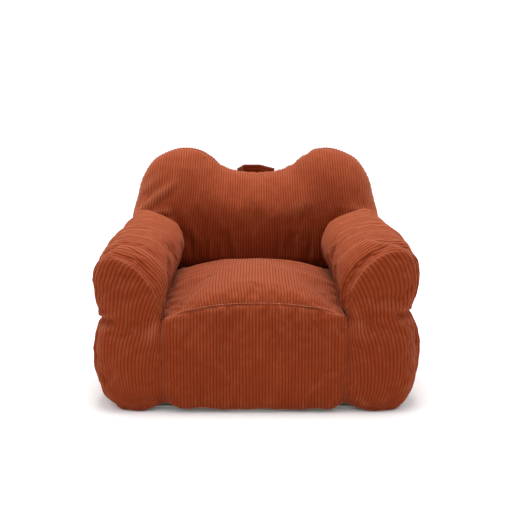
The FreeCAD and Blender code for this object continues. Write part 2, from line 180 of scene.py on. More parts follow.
def feed(shader, socket, shade):
    shade.tree.links.new(shade.socket, shader.inputs[socket])


def feed_bump(shader, height, strength, distance):
    inputs = {"Height": height, "Strength": strength, "Distance": distance}
    feed(shader, "Normal", height.node("ShaderNodeBump", None, inputs))


def make_stage():
    """Wide floor that curves up into a back wall a long way behind."""
    near, turn, radius, wide, tall = -30.0, 12.0, 4.0, 30.0, 20.0
    angles = np.linspace(0, math.pi / 2, 13)
    line = [(near, 0.0)]
    line += [(turn + radius * math.sin(a), radius * (1 - math.cos(a))) for a in angles]
    line += [(turn + radius, tall)]
    points = np.array([[(x, y, z) for x in (-wide, wide)] for y, z in line])
    floor = link_object("stage_floor", grid_mesh("stage_floor", points))
    material, shade, shader = new_finish("stage_white", STAGE_WHITE, 0.9,
                                         Emission_Strength=STAGE_GLOW)
    away = shade.node("ShaderNodeVectorMath", {"operation": "LENGTH"}, {0: shade.place()}, 1)
    feed(shader, "Emission Color", (away * 0.5 - 0.4).mix(DARK, LIGHT))
    floor.data.materials.append(material)


def add_lamp(name, place, target, size, watts):
    lamp = bpy.data.lights.new(name, "AREA")
    lamp.shape = "DISK"
    lamp.size = size
    lamp.energy = watts
    item = link_object(name, lamp)
    item.location = place
    item.rotation_euler = (Vector(target) - Vector(place)).to_track_quat("-Z", "Y").to_euler()


make_stage()
add_lamp("lamp_top", (0.0, 0.2, 3.2), (0, 0, 0.2), size=2.0, watts=90)
add_lamp("lamp_left", (-2.8, -1.2, 2.2), (0, 0, 0.3), size=1.6, watts=18)
add_lamp("lamp_right", (2.8, -1.2, 2.2), (0, 0, 0.3), size=1.6, watts=9)
world = bpy.data.worlds.new("studio")
bpy.context.scene.world = world
world.use_nodes = True
world.node_tree.nodes["Background"].inputs["Color"].default_value = LIGHT
world.node_tree.nodes["Background"].inputs["Strength"].default_value = 1.0
bpy.context.scene.view_settings.view_transform = "Standard"


# ---- Cover: pattern
# Ten panels of wide-wale corduroy sewn together inside out. Each is drawn here as a net of
# points whose columns follow the wales, and panels that meet share the curve of their seam.
WALE = 0.0088
NET_STEP = 0.010
SEAM_X = {-1: 0.249, 1: 0.238}
FRONT_Y = -0.392
SEAT_SEAM_HEIGHT = 0.293


def spline(points, places):
    """Catmull-Rom curve through points (first axis), read at places from 0 to 1."""
    points = np.asarray(points, float)
    count = len(points) - 1
    ends = [2 * points[0] - points[1]], [2 * points[-1] - points[-2]]
    held = np.concatenate([ends[0], points, ends[1]])
    t = np.clip(np.asarray(places, float), 0, 1) * count
    i = np.minimum(t.astype(int), count - 1)
    f = (t - i).reshape((-1,) + (1,) * (points.ndim - 1))
    a, b, c, d = (held[i + k] for k in range(4))
    cubic = (3 * b - a - 3 * c + d) * f**3
    return 0.5 * (2 * b + (c - a) * f + (2 * a - 5 * b + 4 * c - d) * f**2 + cubic)


def upsample(net, rows, columns):
    """Smooth finer net through a coarse one."""
    tall = spline(net, np.linspace(0, 1, rows))
    return np.swapaxes(spline(np.swapaxes(tall, 0, 1), np.linspace(0, 1, columns)), 0, 1)


def resample(line, count):
    """Points evenly spaced along a polyline."""
    steps = np.linalg.norm(np.diff(line, axis=0), axis=1)
    reach = np.concatenate([[0], np.cumsum(steps)])
    wanted = np.linspace(0, reach[-1], count)
    return np.stack([np.interp(wanted, reach, line[:, k]) for k in range(line.shape[1])], axis=1)


def even_curve(points, count):
    """Smooth curve through a few points, evenly divided."""
    return resample(spline(points, np.linspace(0, 1, 40 * len(points))), count)


def even_net(dense, rows, columns):
    """Divides a dense net evenly by length, first across and then along its columns."""
    across = np.stack([resample(line, columns) for line in dense])
    return np.stack([resample(across[:, k], rows) for k in range(columns)], axis=1)


def coons(left, right, start, end):
    """Net between four curves: start and end run across, left and right run down."""
    s = np.linspace(0, 1, len(start))[None, :, None]
    t = np.linspace(0, 1, len(left))[:, None, None]
    patch = (1 - s) * left[:, None] + s * right[:, None] + (1 - t) * start[None] + t * end[None]
    patch = patch - (1 - s) * (1 - t) * start[0] - s * (1 - t) * start[-1]
    return patch - (1 - s) * t * end[0] - s * t * end[-1]


def smooth_step(low, high, value):
    t = np.clip((value - low) / (high - low), 0, 1)
    return t * t * (3 - 2 * t)


def bump(centre, width, value):
    return np.exp(-(((value - centre) / width) ** 2))


def seam_x(x):
    """Distance from the middle of the front's upright seam on the side that x is on."""
    return np.where(x < 0, SEAM_X[-1], SEAM_X[1])


def front_surface(x, z):
    """How far forward the front panel and the arm fronts stand, as one stuffed wall."""
    under = np.clip((0.028 - z) / 0.028, 0, 1)
    swell = 0.010 * np.sin(np.pi * np.clip(z / 0.31, 0, 1) ** 0.8) * (1 - 2 * x**2)
    beside = abs(x) - seam_x(x)
    crease = bump(0, 0.011, beside) * (0.0045 + 0.012 * smooth_step(0.19, 0.28, z))
    crease += bump(0, 0.030, beside) * 0.020 * smooth_step(0.07, 0.0, z)
    low = 0.007 * smooth_step(0.10, 0.02, z) * (1 - smooth_step(0.20, 0.26, abs(x)))
    return FRONT_Y + 0.010 - swell - low + 0.016 * (1 - np.sqrt(1 - under**2)) + crease


def hem_height(x):
    """Height of the front hem above the floor: it lifts where panels are joined."""
    lift = 0.014 * bump(-0.232, 0.026, x) + 0.012 * bump(0.236, 0.022, x)
    lift += 0.006 * bump(-0.150, 0.020, x)
    return 0.0085 + lift + 0.0018 * np.sin(x * 43 + 1.0) + 0.0012 * np.sin(x * 91)


def front_seam(share):
    """Seam between seat and front panel, from the left arm (0) to the right arm (1)."""
    x = -SEAM_X[-1] + (SEAM_X[-1] + SEAM_X[1]) * share
    drop = np.where(x < 0, 0.041, 0.031)
    z = SEAT_SEAM_HEIGHT - drop * abs(x / seam_x(x)) ** 2.3
    y = front_surface(x, z) + 0.0045
    return np.stack([x, y, z], axis=-1)


def front_panel_net(rows, columns):
    share, down = np.meshgrid(np.linspace(0, 1, columns), np.linspace(0, 1, rows))
    top = front_seam(share)
    x = top[..., 0] * (1 + 0.012 * down**3)
    z = top[..., 2] * (1 - down) + hem_height(x) * down
    y = front_surface(x, z) + 0.0045 * smooth_step(0.05, 0.0, down)
    return np.stack([x, y, z], axis=-1)


def upright_seam(side, count):
    """Seam between the front panel and an arm's front, from the seat's corner to the hem."""
    net = front_panel_net(count, 3)
    return net[:, 0 if side < 0 else -1] * (side, 1, 1)


# The arm's front seam, from just above the seat's corner over the top to the waist outside.
ARM_SEAM = {
    -1: [
        (0.2545, -0.370, 0.297), (0.272, -0.373, 0.339),
        (0.2955, -0.374, 0.370), (0.325, -0.374, 0.400), (0.3645, -0.370, 0.416),
        (0.397, -0.358, 0.408), (0.415, -0.342, 0.375), (0.422, -0.334, 0.315),
        (0.411, -0.330, 0.247),
    ],
    1: [
        (0.242, -0.370, 0.315), (0.2545, -0.373, 0.350),
        (0.274, -0.374, 0.383), (0.304, -0.374, 0.413), (0.345, -0.370, 0.434),
        (0.384, -0.360, 0.433), (0.410, -0.344, 0.400), (0.418, -0.334, 0.335),
        (0.403, -0.330, 0.264),
    ],
}
# The edge of the arm's front below the waist, down to the floor.
LOWER_EDGE = {
    -1: [
        (0.411, -0.330, 0.247), (0.422, -0.333, 0.205), (0.426, -0.334, 0.150),
        (0.418, -0.336, 0.090), (0.398, -0.345, 0.034), (0.364, -0.362, 0.002),
    ],
    1: [
        (0.403, -0.330, 0.264), (0.422, -0.333, 0.215), (0.426, -0.334, 0.150),
        (0.421, -0.337, 0.088), (0.404, -0.346, 0.034), (0.374, -0.362, 0.002),
    ],
}
WAIST_HEIGHT = {side: edge[0][2] for side, edge in LOWER_EDGE.items()}
# Cross-sections of the left arm, from the seat over the top to the waist, at six places
# from front to back.
ARM_SECTIONS = [
    (-0.310, [
        (0.250, 0.264), (0.236, 0.318), (0.246, 0.368), (0.284, 0.412), (0.335, 0.433),
        (0.387, 0.430), (0.419, 0.390), (0.427, 0.315), (0.409, 0.248),
    ]),
    (-0.180, [
        (0.252, 0.288), (0.227, 0.334), (0.235, 0.386), (0.274, 0.427), (0.329, 0.447),
        (0.386, 0.443), (0.419, 0.398), (0.427, 0.318), (0.404, 0.250),
    ]),
    (-0.020, [
        (0.254, 0.294), (0.222, 0.340), (0.228, 0.395), (0.265, 0.435), (0.320, 0.454),
        (0.378, 0.449), (0.413, 0.402), (0.422, 0.322), (0.402, 0.252),
    ]),
    (0.100, [
        (0.258, 0.278), (0.232, 0.336), (0.238, 0.392), (0.272, 0.433), (0.324, 0.452),
        (0.374, 0.450), (0.406, 0.407), (0.416, 0.326), (0.400, 0.254),
    ]),
    (0.190, [
        (0.266, 0.270), (0.248, 0.332), (0.254, 0.386), (0.284, 0.424), (0.326, 0.442),
        (0.366, 0.446), (0.396, 0.406), (0.406, 0.328), (0.392, 0.256),
    ]),
    (0.235, [
        (0.290, 0.290), (0.280, 0.328), (0.286, 0.362), (0.306, 0.392), (0.332, 0.406),
        (0.354, 0.406), (0.368, 0.376), (0.376, 0.320), (0.364, 0.258),
    ]),
]
SIDE_BULGE = 0.026


def arm_section(side, section, share):
    """A section as it is on one side: the right arm is fatter, and higher at its front."""
    points = np.array(section)
    if side > 0:
        inner = smooth_step(0.37, 0.28, points[:, 0])
        points[:, 0] -= 0.019 * inner + 0.005 * share
        points[:, 1] += 0.012 * (1 - share)
    points[-1, 1] = WAIST_HEIGHT[side]
    return points


def arm_seam(side, count):
    corner = upright_seam(side, 2)[:1]
    return even_curve(np.concatenate([corner, ARM_SEAM[side]]), count)


def arm_lines(side):
    lines = [arm_seam(side, 160)]
    for y, section in ARM_SECTIONS:
        flat = even_curve(arm_section(side, section, smooth_step(-0.3, 0.2, y)), 160)
        lines.append(np.stack([flat[:, 0], np.full(160, y), flat[:, 1]], axis=1))
    return np.array(lines)


def arm_panel_net(side, rows, columns):
    """Rows run back along the arm, columns go over it with the wales."""
    dense = spline(arm_lines(side), np.linspace(0, 1, 120))
    dense = np.swapaxes(dense, 0, 1)
    net = even_net(dense, rows, columns)
    net[..., 0] *= side
    return net


def arm_front_net(side, rows, columns):
    """Columns run down from the arm's front seam and crowd together at the lower corner."""
    seam = arm_seam(side, 400)
    lower = even_curve(LOWER_EDGE[side], 400)
    corner = int(400 * 0.60)
    top = resample(seam[: corner + 1], 200)
    outer = resample(np.concatenate([seam[corner:], lower[1:]]), 200)
    share = np.linspace(0, 1, 200)[:, None]
    inner = upright_seam(side, 200)
    bottom = inner[-1] + (outer[-1] - inner[-1]) * share
    bottom[:, 1] -= 0.020 * np.sin(np.pi * share[:, 0])
    bottom[:, 2] = bottom[:, 2] * (1 - share[:, 0]) ** 2 + 0.0005
    patch = coons(inner, outer, top, bottom)
    ring = np.concatenate([top, outer])[:, None, None]
    away = np.hypot(patch[..., 0] - ring[..., 0], patch[..., 2] - ring[..., 2])
    edge_y = ring[away.argmin(axis=0), 0, 0, 1]
    floor_y = bottom[None, :, 1]
    reach = np.clip(away.min(axis=0) / 0.060, 0, 1)
    wall = front_surface(side * patch[..., 0], patch[..., 2])
    patch[..., 1] = edge_y + (wall - edge_y) * np.sqrt(1 - (1 - reach) ** 2)
    low = smooth_step(0.030, 0.0, patch[..., 2])
    patch[..., 1] += (np.minimum(floor_y, patch[..., 1]) - patch[..., 1]) * low
    patch[:, 0] = inner
    net = even_net(patch, rows, columns)
    net[..., 0] *= side
    return net


def side_panel_net(side, rows, columns):
    """Lower side of the arm, from the waist seam to the floor."""
    lines = [even_curve(LOWER_EDGE[side], 100)]
    waist = WAIST_HEIGHT[side]
    for y, arm in ARM_SECTIONS:
        x = arm_section(side, arm, smooth_step(-0.3, 0.2, y))[-1, 0]
        width = x + SIDE_BULGE
        section = [
            (x, waist), (width - 0.004, waist - 0.050), (width, waist - 0.115),
            (width - 0.006, 0.080), (width - 0.022, 0.032), (width - 0.052, 0.004),
        ]
        flat = even_curve(section, 100)
        lines.append(np.stack([flat[:, 0], np.full(100, y), flat[:, 1]], axis=1))
    dense = np.swapaxes(spline(np.array(lines), np.linspace(0, 1, 120)), 0, 1)
    net = even_net(dense, rows, columns)
    net[..., 0] *= side
    return net


# Half of the back's outline seen from the front, from the dip over a lobe and down the flank.
BACK_OUTLINE = [
    (0.000, 0.568), (0.060, 0.574), (0.112, 0.592), (0.152, 0.622), (0.195, 0.641),
    (0.240, 0.643), (0.287, 0.631), (0.328, 0.603), (0.358, 0.560), (0.376, 0.508),
    (0.385, 0.455), (0.391, 0.390), (0.398, 0.300), (0.406, 0.200), (0.409, 0.110),
    (0.400, 0.045), (0.380, 0.000),
]
LEFT_LOBE_WIDER = 1.018
FLANK_TOP = 0.500
RIM = 0.115


def back_outline(count):
    half = even_curve(BACK_OUTLINE, count)
    left = half[::-1] * (-LEFT_LOBE_WIDER, 1)
    return np.concatenate([left[:-1], half])


def outline_distance(x, z):
    """Distance of points from the back's outline, seen from the front."""
    line = back_outline(160)
    flat = np.stack([x, z], axis=-1).reshape(-1, 1, 2)
    start, step = line[:-1], np.diff(line, axis=0)
    along = ((flat - start) * step).sum(-1) / (step**2).sum(-1)
    foot = start + np.clip(along, 0, 1)[..., None] * step
    return np.linalg.norm(flat - foot, axis=-1).min(axis=1).reshape(x.shape)


def back_seam_y(z):
    """The seam between inside and outside back, which comes forward below the lobes."""
    return 0.275 - 0.075 * smooth_step(0.52, 0.41, z)


def rounded(x, z, face_y):
    """The y of a back panel: flat on its face, curving over the rim to the seam."""
    reach = np.clip(outline_distance(x, z) / RIM, 0, 1)
    seam = back_seam_y(z)
    power = np.where(face_y > seam, 2.6, 2.0)
    return seam + (face_y - seam) * (1 - (1 - reach) ** power) ** (1 / power)


def back_net(foot, face, rows, columns):
    """Upright wales of even pitch from a foot height up to the outline of the lobes."""
    half = even_curve(BACK_OUTLINE, 600)
    order = half[:, 1].argsort(kind="stable")
    flank = order[(half[order, 0] > 0.37) & (half[order, 1] <= FLANK_TOP)]

    def column_x(share, z):
        width = np.interp(z, half[flank, 1], half[flank, 0])
        narrowing = 0.07 * smooth_step(0.33, 0.64, z) * (1 - share**6)
        wider = np.where(share < 0, LEFT_LOBE_WIDER, 1)
        return share * width * wider * (1 - narrowing)

    share = np.linspace(-1, 1, 900)
    middle = np.full(900, 0.42)
    x = column_x(share, middle)
    section = np.stack([x, rounded(x, middle, face(middle)), share], axis=1)
    section[[0, -1], 1] = back_seam_y(0.42)
    steps = np.linalg.norm(np.diff(section[:, :2], axis=0), axis=1)
    reach = np.concatenate([[0], np.cumsum(steps)])
    share = np.interp(np.linspace(0, reach[-1], columns), reach, share)
    top = np.full(columns, 0.6)
    for _ in range(30):
        x = column_x(share, top)
        x = np.where(x < 0, -x / LEFT_LOBE_WIDER, x)
        top = np.interp(x, half[:400, 0], half[:400, 1])
    top[[0, -1]] = FLANK_TOP
    down = np.linspace(0, 1, 240)[:, None]
    z = top * (1 - down) + foot * down
    x = column_x(share[None] + 0 * z, z)
    y = rounded(x, z, face(z))
    y[:, [0, -1]] = back_seam_y(z[:, [0, -1]])
    y[0] = back_seam_y(z[0])
    dense = np.stack([x, y, z], axis=-1)
    return np.stack([resample(dense[:, k], rows) for k in range(columns)], axis=1)


ZIP_HEIGHT = 0.120
ZIP_RECESS = 0.0045


def near_zip(net):
    """1 along the zip at the foot of the outside back, 0 away from it."""
    beside = smooth_step(0.325, 0.300, abs(net[..., 0])) * (net[..., 1] > 0.34)
    return beside * smooth_step(0.026, 0.015, abs(net[..., 2] - ZIP_HEIGHT))


def inside_back_face(z):
    """Leans back and bulges where it meets the sitter's shoulders, tucks in at its foot."""
    lean = 0.158 + 0.10 * np.clip(z - 0.36, 0, 1) ** 1.1
    return lean + 0.030 * smooth_step(0.310, 0.266, z) - 0.012 * bump(0.46, 0.08, z)


def outside_back_face(z):
    return 0.3825 - 0.06 * np.clip(z - 0.36, 0, 1) - 0.024 * np.clip(1 - z / 0.05, 0, 1) ** 2


def inside_back_net(rows, columns):
    return back_net(0.266, inside_back_face, rows, columns)


def outside_back_net(rows, columns):
    net = back_net(0.001, outside_back_face, rows, columns)
    net[..., 1] -= ZIP_RECESS * near_zip(net)
    return net


def seat_panel_net(rows, columns):
    """Crowned seat, deep in the creases beside the arms and in front of the back."""
    share = np.linspace(0, 1, 240)
    front = front_seam(share)
    y_places = [-0.383, -0.374, -0.348, -0.295, -0.180, -0.030, 0.085, 0.155, 0.182]
    crown = spline([0.293, 0.311, 0.326, 0.337, 0.344, 0.335, 0.312, 0.290, 0.272], share)
    depth = spline(y_places, share)
    creases = {}
    for side in (-1, 1):
        lines = arm_lines(side)[:, 0]
        order = lines[:, 1]
        creases[side] = [np.interp(depth, order, lines[:, k]) for k in (0, 2)]
    dense = np.zeros((240, 240, 3))
    across = 2 * share - 1
    for row in range(240):
        edge_x = np.where(across < 0, creases[-1][0][row], creases[1][0][row])
        edge_z = np.where(across < 0, creases[-1][1][row], creases[1][1][row]) - 0.010
        dome = (1 - abs(across) ** 2.2) ** 0.8
        dense[row, :, 0] = across * edge_x
        dense[row, :, 1] = depth[row] - 0.010 * dome * smooth_step(0.55, 1.0, share[row])
        dense[row, :, 2] = edge_z + (crown[row] - edge_z) * dome
    near = smooth_step(0.10, 0.0, share)[:, None, None]
    lifted = dense + (front - dense[0])
    dense = dense * (1 - near) + lifted * near
    dense[0] = front
    return even_net(dense, rows, columns)


# Each panel's net, and the length and width of its cloth.
PANELS = {
    "seat_panel": (seat_panel_net, 0.600, 0.560),
    "front_panel": (front_panel_net, 0.300, 0.500),
    "inside_back_panel": (inside_back_net, 0.370, 0.890),
    "outside_back_panel": (outside_back_net, 0.680, 0.950),
}
for side, word in ((-1, "left"), (1, "right")):
    PANELS[f"{word}_arm_panel"] = (partial(arm_panel_net, side), 0.500, 0.580)
    PANELS[f"{word}_arm_front_panel"] = (partial(arm_front_net, side), 0.400, 0.200)
    PANELS[f"{word}_side_panel"] = (partial(side_panel_net, side), 0.270, 0.550)

nets = {}
for name, (make_net, length, width) in PANELS.items():
    nets[name] = make_net(int(length / NET_STEP) + 1, int(width / NET_STEP) + 1)


def net_normals(net):
    """Unit normals of a net, from its neighbours."""
    down = np.gradient(net, axis=0)
    across = np.gradient(net, axis=1)
    normal = np.cross(across, down)
    return normal / np.maximum(np.linalg.norm(normal, axis=-1, keepdims=True), 1e-9)


def outward(net, centre):
    """The net, turned if need be so that its normals point away from its chamber's centre."""
    towards = ((net - np.array(centre)) * net_normals(net)).sum(-1)
    return net if np.median(towards) > 0 else net[:, ::-1]


CENTRES = {"back": (0, 0.28, 0.35), "left": (-0.33, 0, 0.22), "right": (0.33, 0, 0.22)}
for name in nets:
    chamber = next((word for word in CENTRES if word in name), "seat")
    nets[name] = outward(nets[name], CENTRES.get(chamber, (0, 0, 0.15)))


# ---- Filling: how it shapes the cover
# Shredded foam presses the loose cover out from inside. The pinned seams hold, and the
# slack cloth between them buckles into soft dents and folds.
SLACK = 0.035
MOST_MOVE = 0.012
SMOOTH_SHARE = 0.20
SMOOTH_REACH = 0.06
CLOTH_FRAMES = 20
FOLD_SHARE = {"inside_back_panel": 0.45, "seat_panel": 0.75, "front_panel": 0.8}


def border(shape):
    edge = np.zeros(shape, bool)
    edge[[0, -1]] = True
    edge[:, [0, -1]] = True
    return edge


def edge_fade(net, reach):
    """0 on a panel's seams, rising to 1 at a distance inside them."""
    fade = np.ones(net.shape[:2])
    for axis in (0, 1):
        steps = np.linalg.norm(np.diff(net, axis=axis), axis=-1)
        pad = [(1, 0), (0, 0)] if axis == 0 else [(0, 0), (1, 0)]
        along = np.cumsum(np.pad(steps, pad), axis=axis)
        total = along.take([-1], axis=axis)
        fade *= np.clip(np.minimum(along, total - along) / reach, 0, 1)
    return fade


def smoothed(move, passes=40):
    """The broad swell in a field of moves, without its folds."""
    for _ in range(passes):
        wide = np.pad(move, [(1, 1), (1, 1), (0, 0)], mode="edge")
        move = (wide[:-2, 1:-1] + wide[2:, 1:-1] + wide[1:-1, :-2] + wide[1:-1, 2:]) / 4
    return move


def fill_cover(nets):
    """Runs the cloth once for all panels and gives each panel's points back."""
    points, faces, pinned, start = [], [], [], 0
    for net in nets.values():
        index, quads = number_net(net, start)
        points.append(net.reshape(-1, 3))
        faces += quads
        pinned += index[border(index.shape) | (near_zip(net) > 0.1)].tolist()
        start += index.size
    before = np.concatenate(points)
    mesh = bpy.data.meshes.new("cover_cloth")
    mesh.from_pydata(before.tolist(), [], faces)
    cover = link_object("cover_cloth", mesh)
    group = cover.vertex_groups.new(name="seams")
    group.add(pinned, 1.0, "REPLACE")
    cloth = cover.modifiers.new("cloth", "CLOTH")
    settings = cloth.settings
    settings.quality = 6
    settings.mass = 0.35
    settings.tension_stiffness = settings.compression_stiffness = 18
    settings.shear_stiffness = 6
    settings.bending_stiffness = 0.35
    settings.vertex_group_mass = "seams"
    settings.shrink_min = -SLACK
    settings.use_pressure = True
    settings.uniform_pressure_force = 1.0
    settings.effector_weights.gravity = 0
    for frame_number in range(1, CLOTH_FRAMES + 1):
        bpy.context.scene.frame_set(frame_number)
    graph = bpy.context.evaluated_depsgraph_get()
    after = np.empty(len(before) * 3)
    cover.evaluated_get(graph).data.vertices.foreach_get("co", after)
    bpy.context.scene.frame_set(1)
    bpy.data.objects.remove(cover)
    filled, start = {}, 0
    for name, net in nets.items():
        count = net.shape[0] * net.shape[1]
        move = after.reshape(-1, 3)[start : start + count].reshape(net.shape) - net
        broad = smoothed(move)
        move = move - broad * (1 - SMOOTH_SHARE) * edge_fade(net, SMOOTH_REACH)[..., None]
        move *= FOLD_SHARE.get(name, 1.0)
        size = np.linalg.norm(move, axis=-1, keepdims=True)
        filled[name] = net + move * np.minimum(1, MOST_MOVE / np.maximum(size, 1e-9))
        start += count
    return filled


nets = fill_cover(nets)


# ---- Cover: corduroy
# Wide-wale cotton corduroy in rust orange: rounded ribs of soft pile with narrow bare
# grooves between them. The grooves are darkened with painted shade, and the pile is made
# paler with a painted highlight where it faces up and on the crests of folds.
WALE_HEIGHT = 0.0020
COLUMNS_PER_WALE = 6
ROW_STEP = 0.006
SEAM_FADE = 0.0035
SEAM_TUCK = 0.004
# Extra painted light on the upper inside back, added to its up-facing painted highlight.
BACK_PAINTED_LIGHT = 0.25
# Fold height at which the painted highlight on a fold's crest is full.
FOLD_CREST = 0.004
PALE_PILE = {
    "Sheen_Weight": 0.30, "Sheen_Roughness": 0.40, "Sheen_Tint": (1, 0.50, 0.34, 1),
    "Specular_IOR_Level": 0.06,
}
RUST_RIB = (0.226, 0.0350, 0.0085, 1)
# Groove colour: painted shade in the recesses between the ribs.
RUST_GROOVE_SHADE = (0.132, 0.0160, 0.0037, 1)
# Pale colour: partly the pile's own brushed patches, partly a painted highlight where the cloth
# faces up and on fold crests.
RUST_BRUSHED_AND_HIGHLIGHT = (0.440, 0.140, 0.070, 1)
RUST_DEEP = (0.180, 0.0265, 0.0064, 1)


def corduroy_finish():
    material, shade, shader = new_finish("corduroy_pile", RUST_RIB, 0.92, **PALE_PILE)
    rib, crest, up = (shade.drawn(name) for name in ("rib", "crest", "painted_top_light"))
    patches = shade.noise(9.0, 3.0)
    speckle = shade.noise(700.0, 2.0)
    brushed = shade.noise(45.0, 3.0)
    pile = (patches * 1.4 - 0.25).mix(RUST_DEEP, RUST_RIB)
    # Paler where the cloth faces up and on fold crests: painted highlight. The brushed and speckle
    # noise is the pile's own uneven tone.
    worn = crest * 0.24 + up * 0.20 + (brushed - 0.5) * 0.35 + (speckle - 0.5) * 0.20
    pile = worn.mix(pile, RUST_BRUSHED_AND_HIGHLIGHT)
    # Painted shade in the grooves: the lower the rib, the darker the colour.
    feed(shader, "Base Color", rib.mix(RUST_GROOVE_SHADE, pile))
    feed(shader, "Roughness", 0.86 + speckle * 0.14)
    feed_bump(shader, speckle + brushed * 0.6, 0.20, 0.001)
    return material


corduroy = corduroy_finish()


def wale_profile(columns):
    """Height of the ribs across a panel, from 0 in a groove to 1 on a rib's crown."""
    phase = (np.arange(columns) / COLUMNS_PER_WALE) % 1
    return np.sqrt(np.maximum(0, 1 - (2 * phase - 1) ** 2))


def add_value(mesh, name, values):
    layer = mesh.attributes.new(name, "FLOAT", "POINT")
    layer.data.foreach_set("value", np.ascontiguousarray(values, np.float32).ravel())


def with_allowance(net):
    """A ring of seam allowance round the net, turned inwards."""
    normal = net_normals(net)
    wide = np.pad(net, [(1, 1), (1, 1), (0, 0)], mode="edge")
    inner = np.pad(normal, [(1, 1), (1, 1), (0, 0)], mode="edge")
    return np.where(border(wide.shape[:2])[..., None], wide - inner * SEAM_TUCK, wide)


shown_nets = {}


def sew_panel(name, folds):
    """Fine panel with folds and ribs, ready to show."""
    coarse = nets[name]
    length, width = PANELS[name][1:]
    rows = int(length / ROW_STEP) + 1
    columns = round(width / WALE) * COLUMNS_PER_WALE + 1
    fine = upsample(coarse, rows, columns)
    normal = net_normals(fine)
    raised = folds(fine) * edge_fade(fine, 0.020)
    fine = fine + normal * raised[..., None]
    normal = net_normals(fine)
    rib = wale_profile(columns)[None] * np.ones((rows, 1))
    fine = fine + normal * (rib * WALE_HEIGHT * edge_fade(fine, SEAM_FADE))[..., None]
    shown_nets[name] = fine
    sewn = with_allowance(fine)
    item = link_object(name + "_cloth", grid_mesh(name + "_cloth", sewn))
    seam = 0.9 * (1 - edge_fade(fine, SEAM_FADE))
    base = upsample(coarse, rows, columns)
    # How much the cloth faces up: it sets a painted highlight from above, and the upper inside
    # back gets more painted light.
    painted_top_light = np.clip(net_normals(base)[..., 2], 0, 1) ** 0.7
    if name == "inside_back_panel":
        painted_top_light = painted_top_light + BACK_PAINTED_LIGHT * smooth_step(0.30, 0.46, base[..., 2])
    # Rib height sets the painted groove shade; fold crests and up-facing cloth set painted
    # highlights.
    looks = {"rib": np.maximum(rib, seam), "crest": np.clip(raised / FOLD_CREST, 0, 1), "painted_top_light": painted_top_light}
    for look, values in looks.items():
        add_value(item.data, look, np.pad(values, 1, mode="edge"))
    item.data.materials.append(corduroy)
    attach(item, "root")
    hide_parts(name)


def crease(across, up, start, end, width, depth):
    """Soft ridge along a line, fading at its ends; a valley where depth is negative."""
    step = np.subtract(end, start)
    length = math.hypot(*step)
    along = ((across - start[0]) * step[0] + (up - start[1]) * step[1]) / length**2
    off = ((across - start[0]) * step[1] - (up - start[1]) * step[0]) / length
    fade = np.sin(np.pi * np.clip(along, 0, 1)) ** 0.7
    return depth * fade * (bump(0, width, off) - 0.45 * bump(1.7 * width, width, off))


# Folds of the inside back, each from one (x, z) to another with its width and depth: the
# left lobe hangs in a long slant fold, and the foot is gathered where the seat presses in.
INSIDE_BACK_FOLDS = [
    ((-0.405, 0.425), (-0.245, 0.560), 0.012, 0.0065),
    ((-0.405, 0.436), (-0.255, 0.464), 0.010, 0.0060),
    ((-0.380, 0.500), (-0.290, 0.580), 0.010, 0.0030),
    ((-0.265, 0.475), (-0.222, 0.350), 0.013, -0.0070),
    ((-0.205, 0.285), (-0.212, 0.400), 0.008, -0.0050),
    ((-0.160, 0.285), (-0.158, 0.370), 0.007, -0.0045),
    ((-0.075, 0.285), (-0.098, 0.430), 0.008, -0.0045),
    ((-0.118, 0.285), (-0.122, 0.345), 0.006, -0.0035),
    ((-0.020, 0.285), (-0.024, 0.350), 0.007, -0.0030),
    ((0.060, 0.285), (0.070, 0.390), 0.008, -0.0040),
    ((0.122, 0.285), (0.104, 0.440), 0.009, -0.0045),
    ((0.165, 0.285), (0.172, 0.380), 0.007, -0.0045),
    ((0.208, 0.285), (0.226, 0.400), 0.008, -0.0055),
    ((0.222, 0.350), (0.268, 0.470), 0.013, -0.0070),
    ((0.405, 0.430), (0.270, 0.478), 0.011, 0.0040),
    ((-0.290, 0.612), (-0.120, 0.602), 0.009, -0.0025),
    ((0.060, 0.440), (0.200, 0.500), 0.020, 0.0025),
]
# Folds of the arms' fronts: the waist pulls in the outer edge, and the corner below it
# creases where it turns under.
ARM_FRONT_FOLDS = [
    ((0.440, 0.000), (0.352, 0.004), 0.009, -0.0080),
    ((0.430, 0.020), (0.375, 0.013), 0.006, 0.0035),
    ((0.430, -0.022), (0.365, -0.012), 0.007, 0.0035),
    ((0.425, 0.048), (0.385, 0.034), 0.006, 0.0022),
    ((0.425, -0.165), (0.360, -0.235), 0.009, 0.0030),
    ((0.400, -0.200), (0.330, -0.250), 0.008, -0.0030),
    ((0.262, -0.215), (0.300, -0.250), 0.009, 0.0030),
    ((0.255, 0.030), (0.285, -0.060), 0.012, 0.0030),
]
# Folds of the outside back: slack cloth above the zip and drag lines from its lobes.
OUTSIDE_BACK_FOLDS = [
    ((-0.300, 0.150), (-0.120, 0.215), 0.014, 0.0045),
    ((0.310, 0.145), (0.150, 0.230), 0.014, 0.0045),
    ((-0.060, 0.150), (0.040, 0.170), 0.010, 0.0030),
    ((-0.330, 0.050), (-0.180, 0.085), 0.010, 0.0035),
    ((0.330, 0.045), (0.160, 0.080), 0.010, 0.0035),
    ((-0.210, 0.560), (-0.150, 0.400), 0.020, 0.0040),
    ((0.230, 0.560), (0.150, 0.420), 0.020, 0.0040),
    ((-0.060, 0.520), (0.050, 0.470), 0.018, -0.0035),
    ((-0.385, 0.420), (-0.260, 0.330), 0.014, 0.0045),
    ((0.385, 0.430), (0.250, 0.340), 0.014, 0.0045),
]
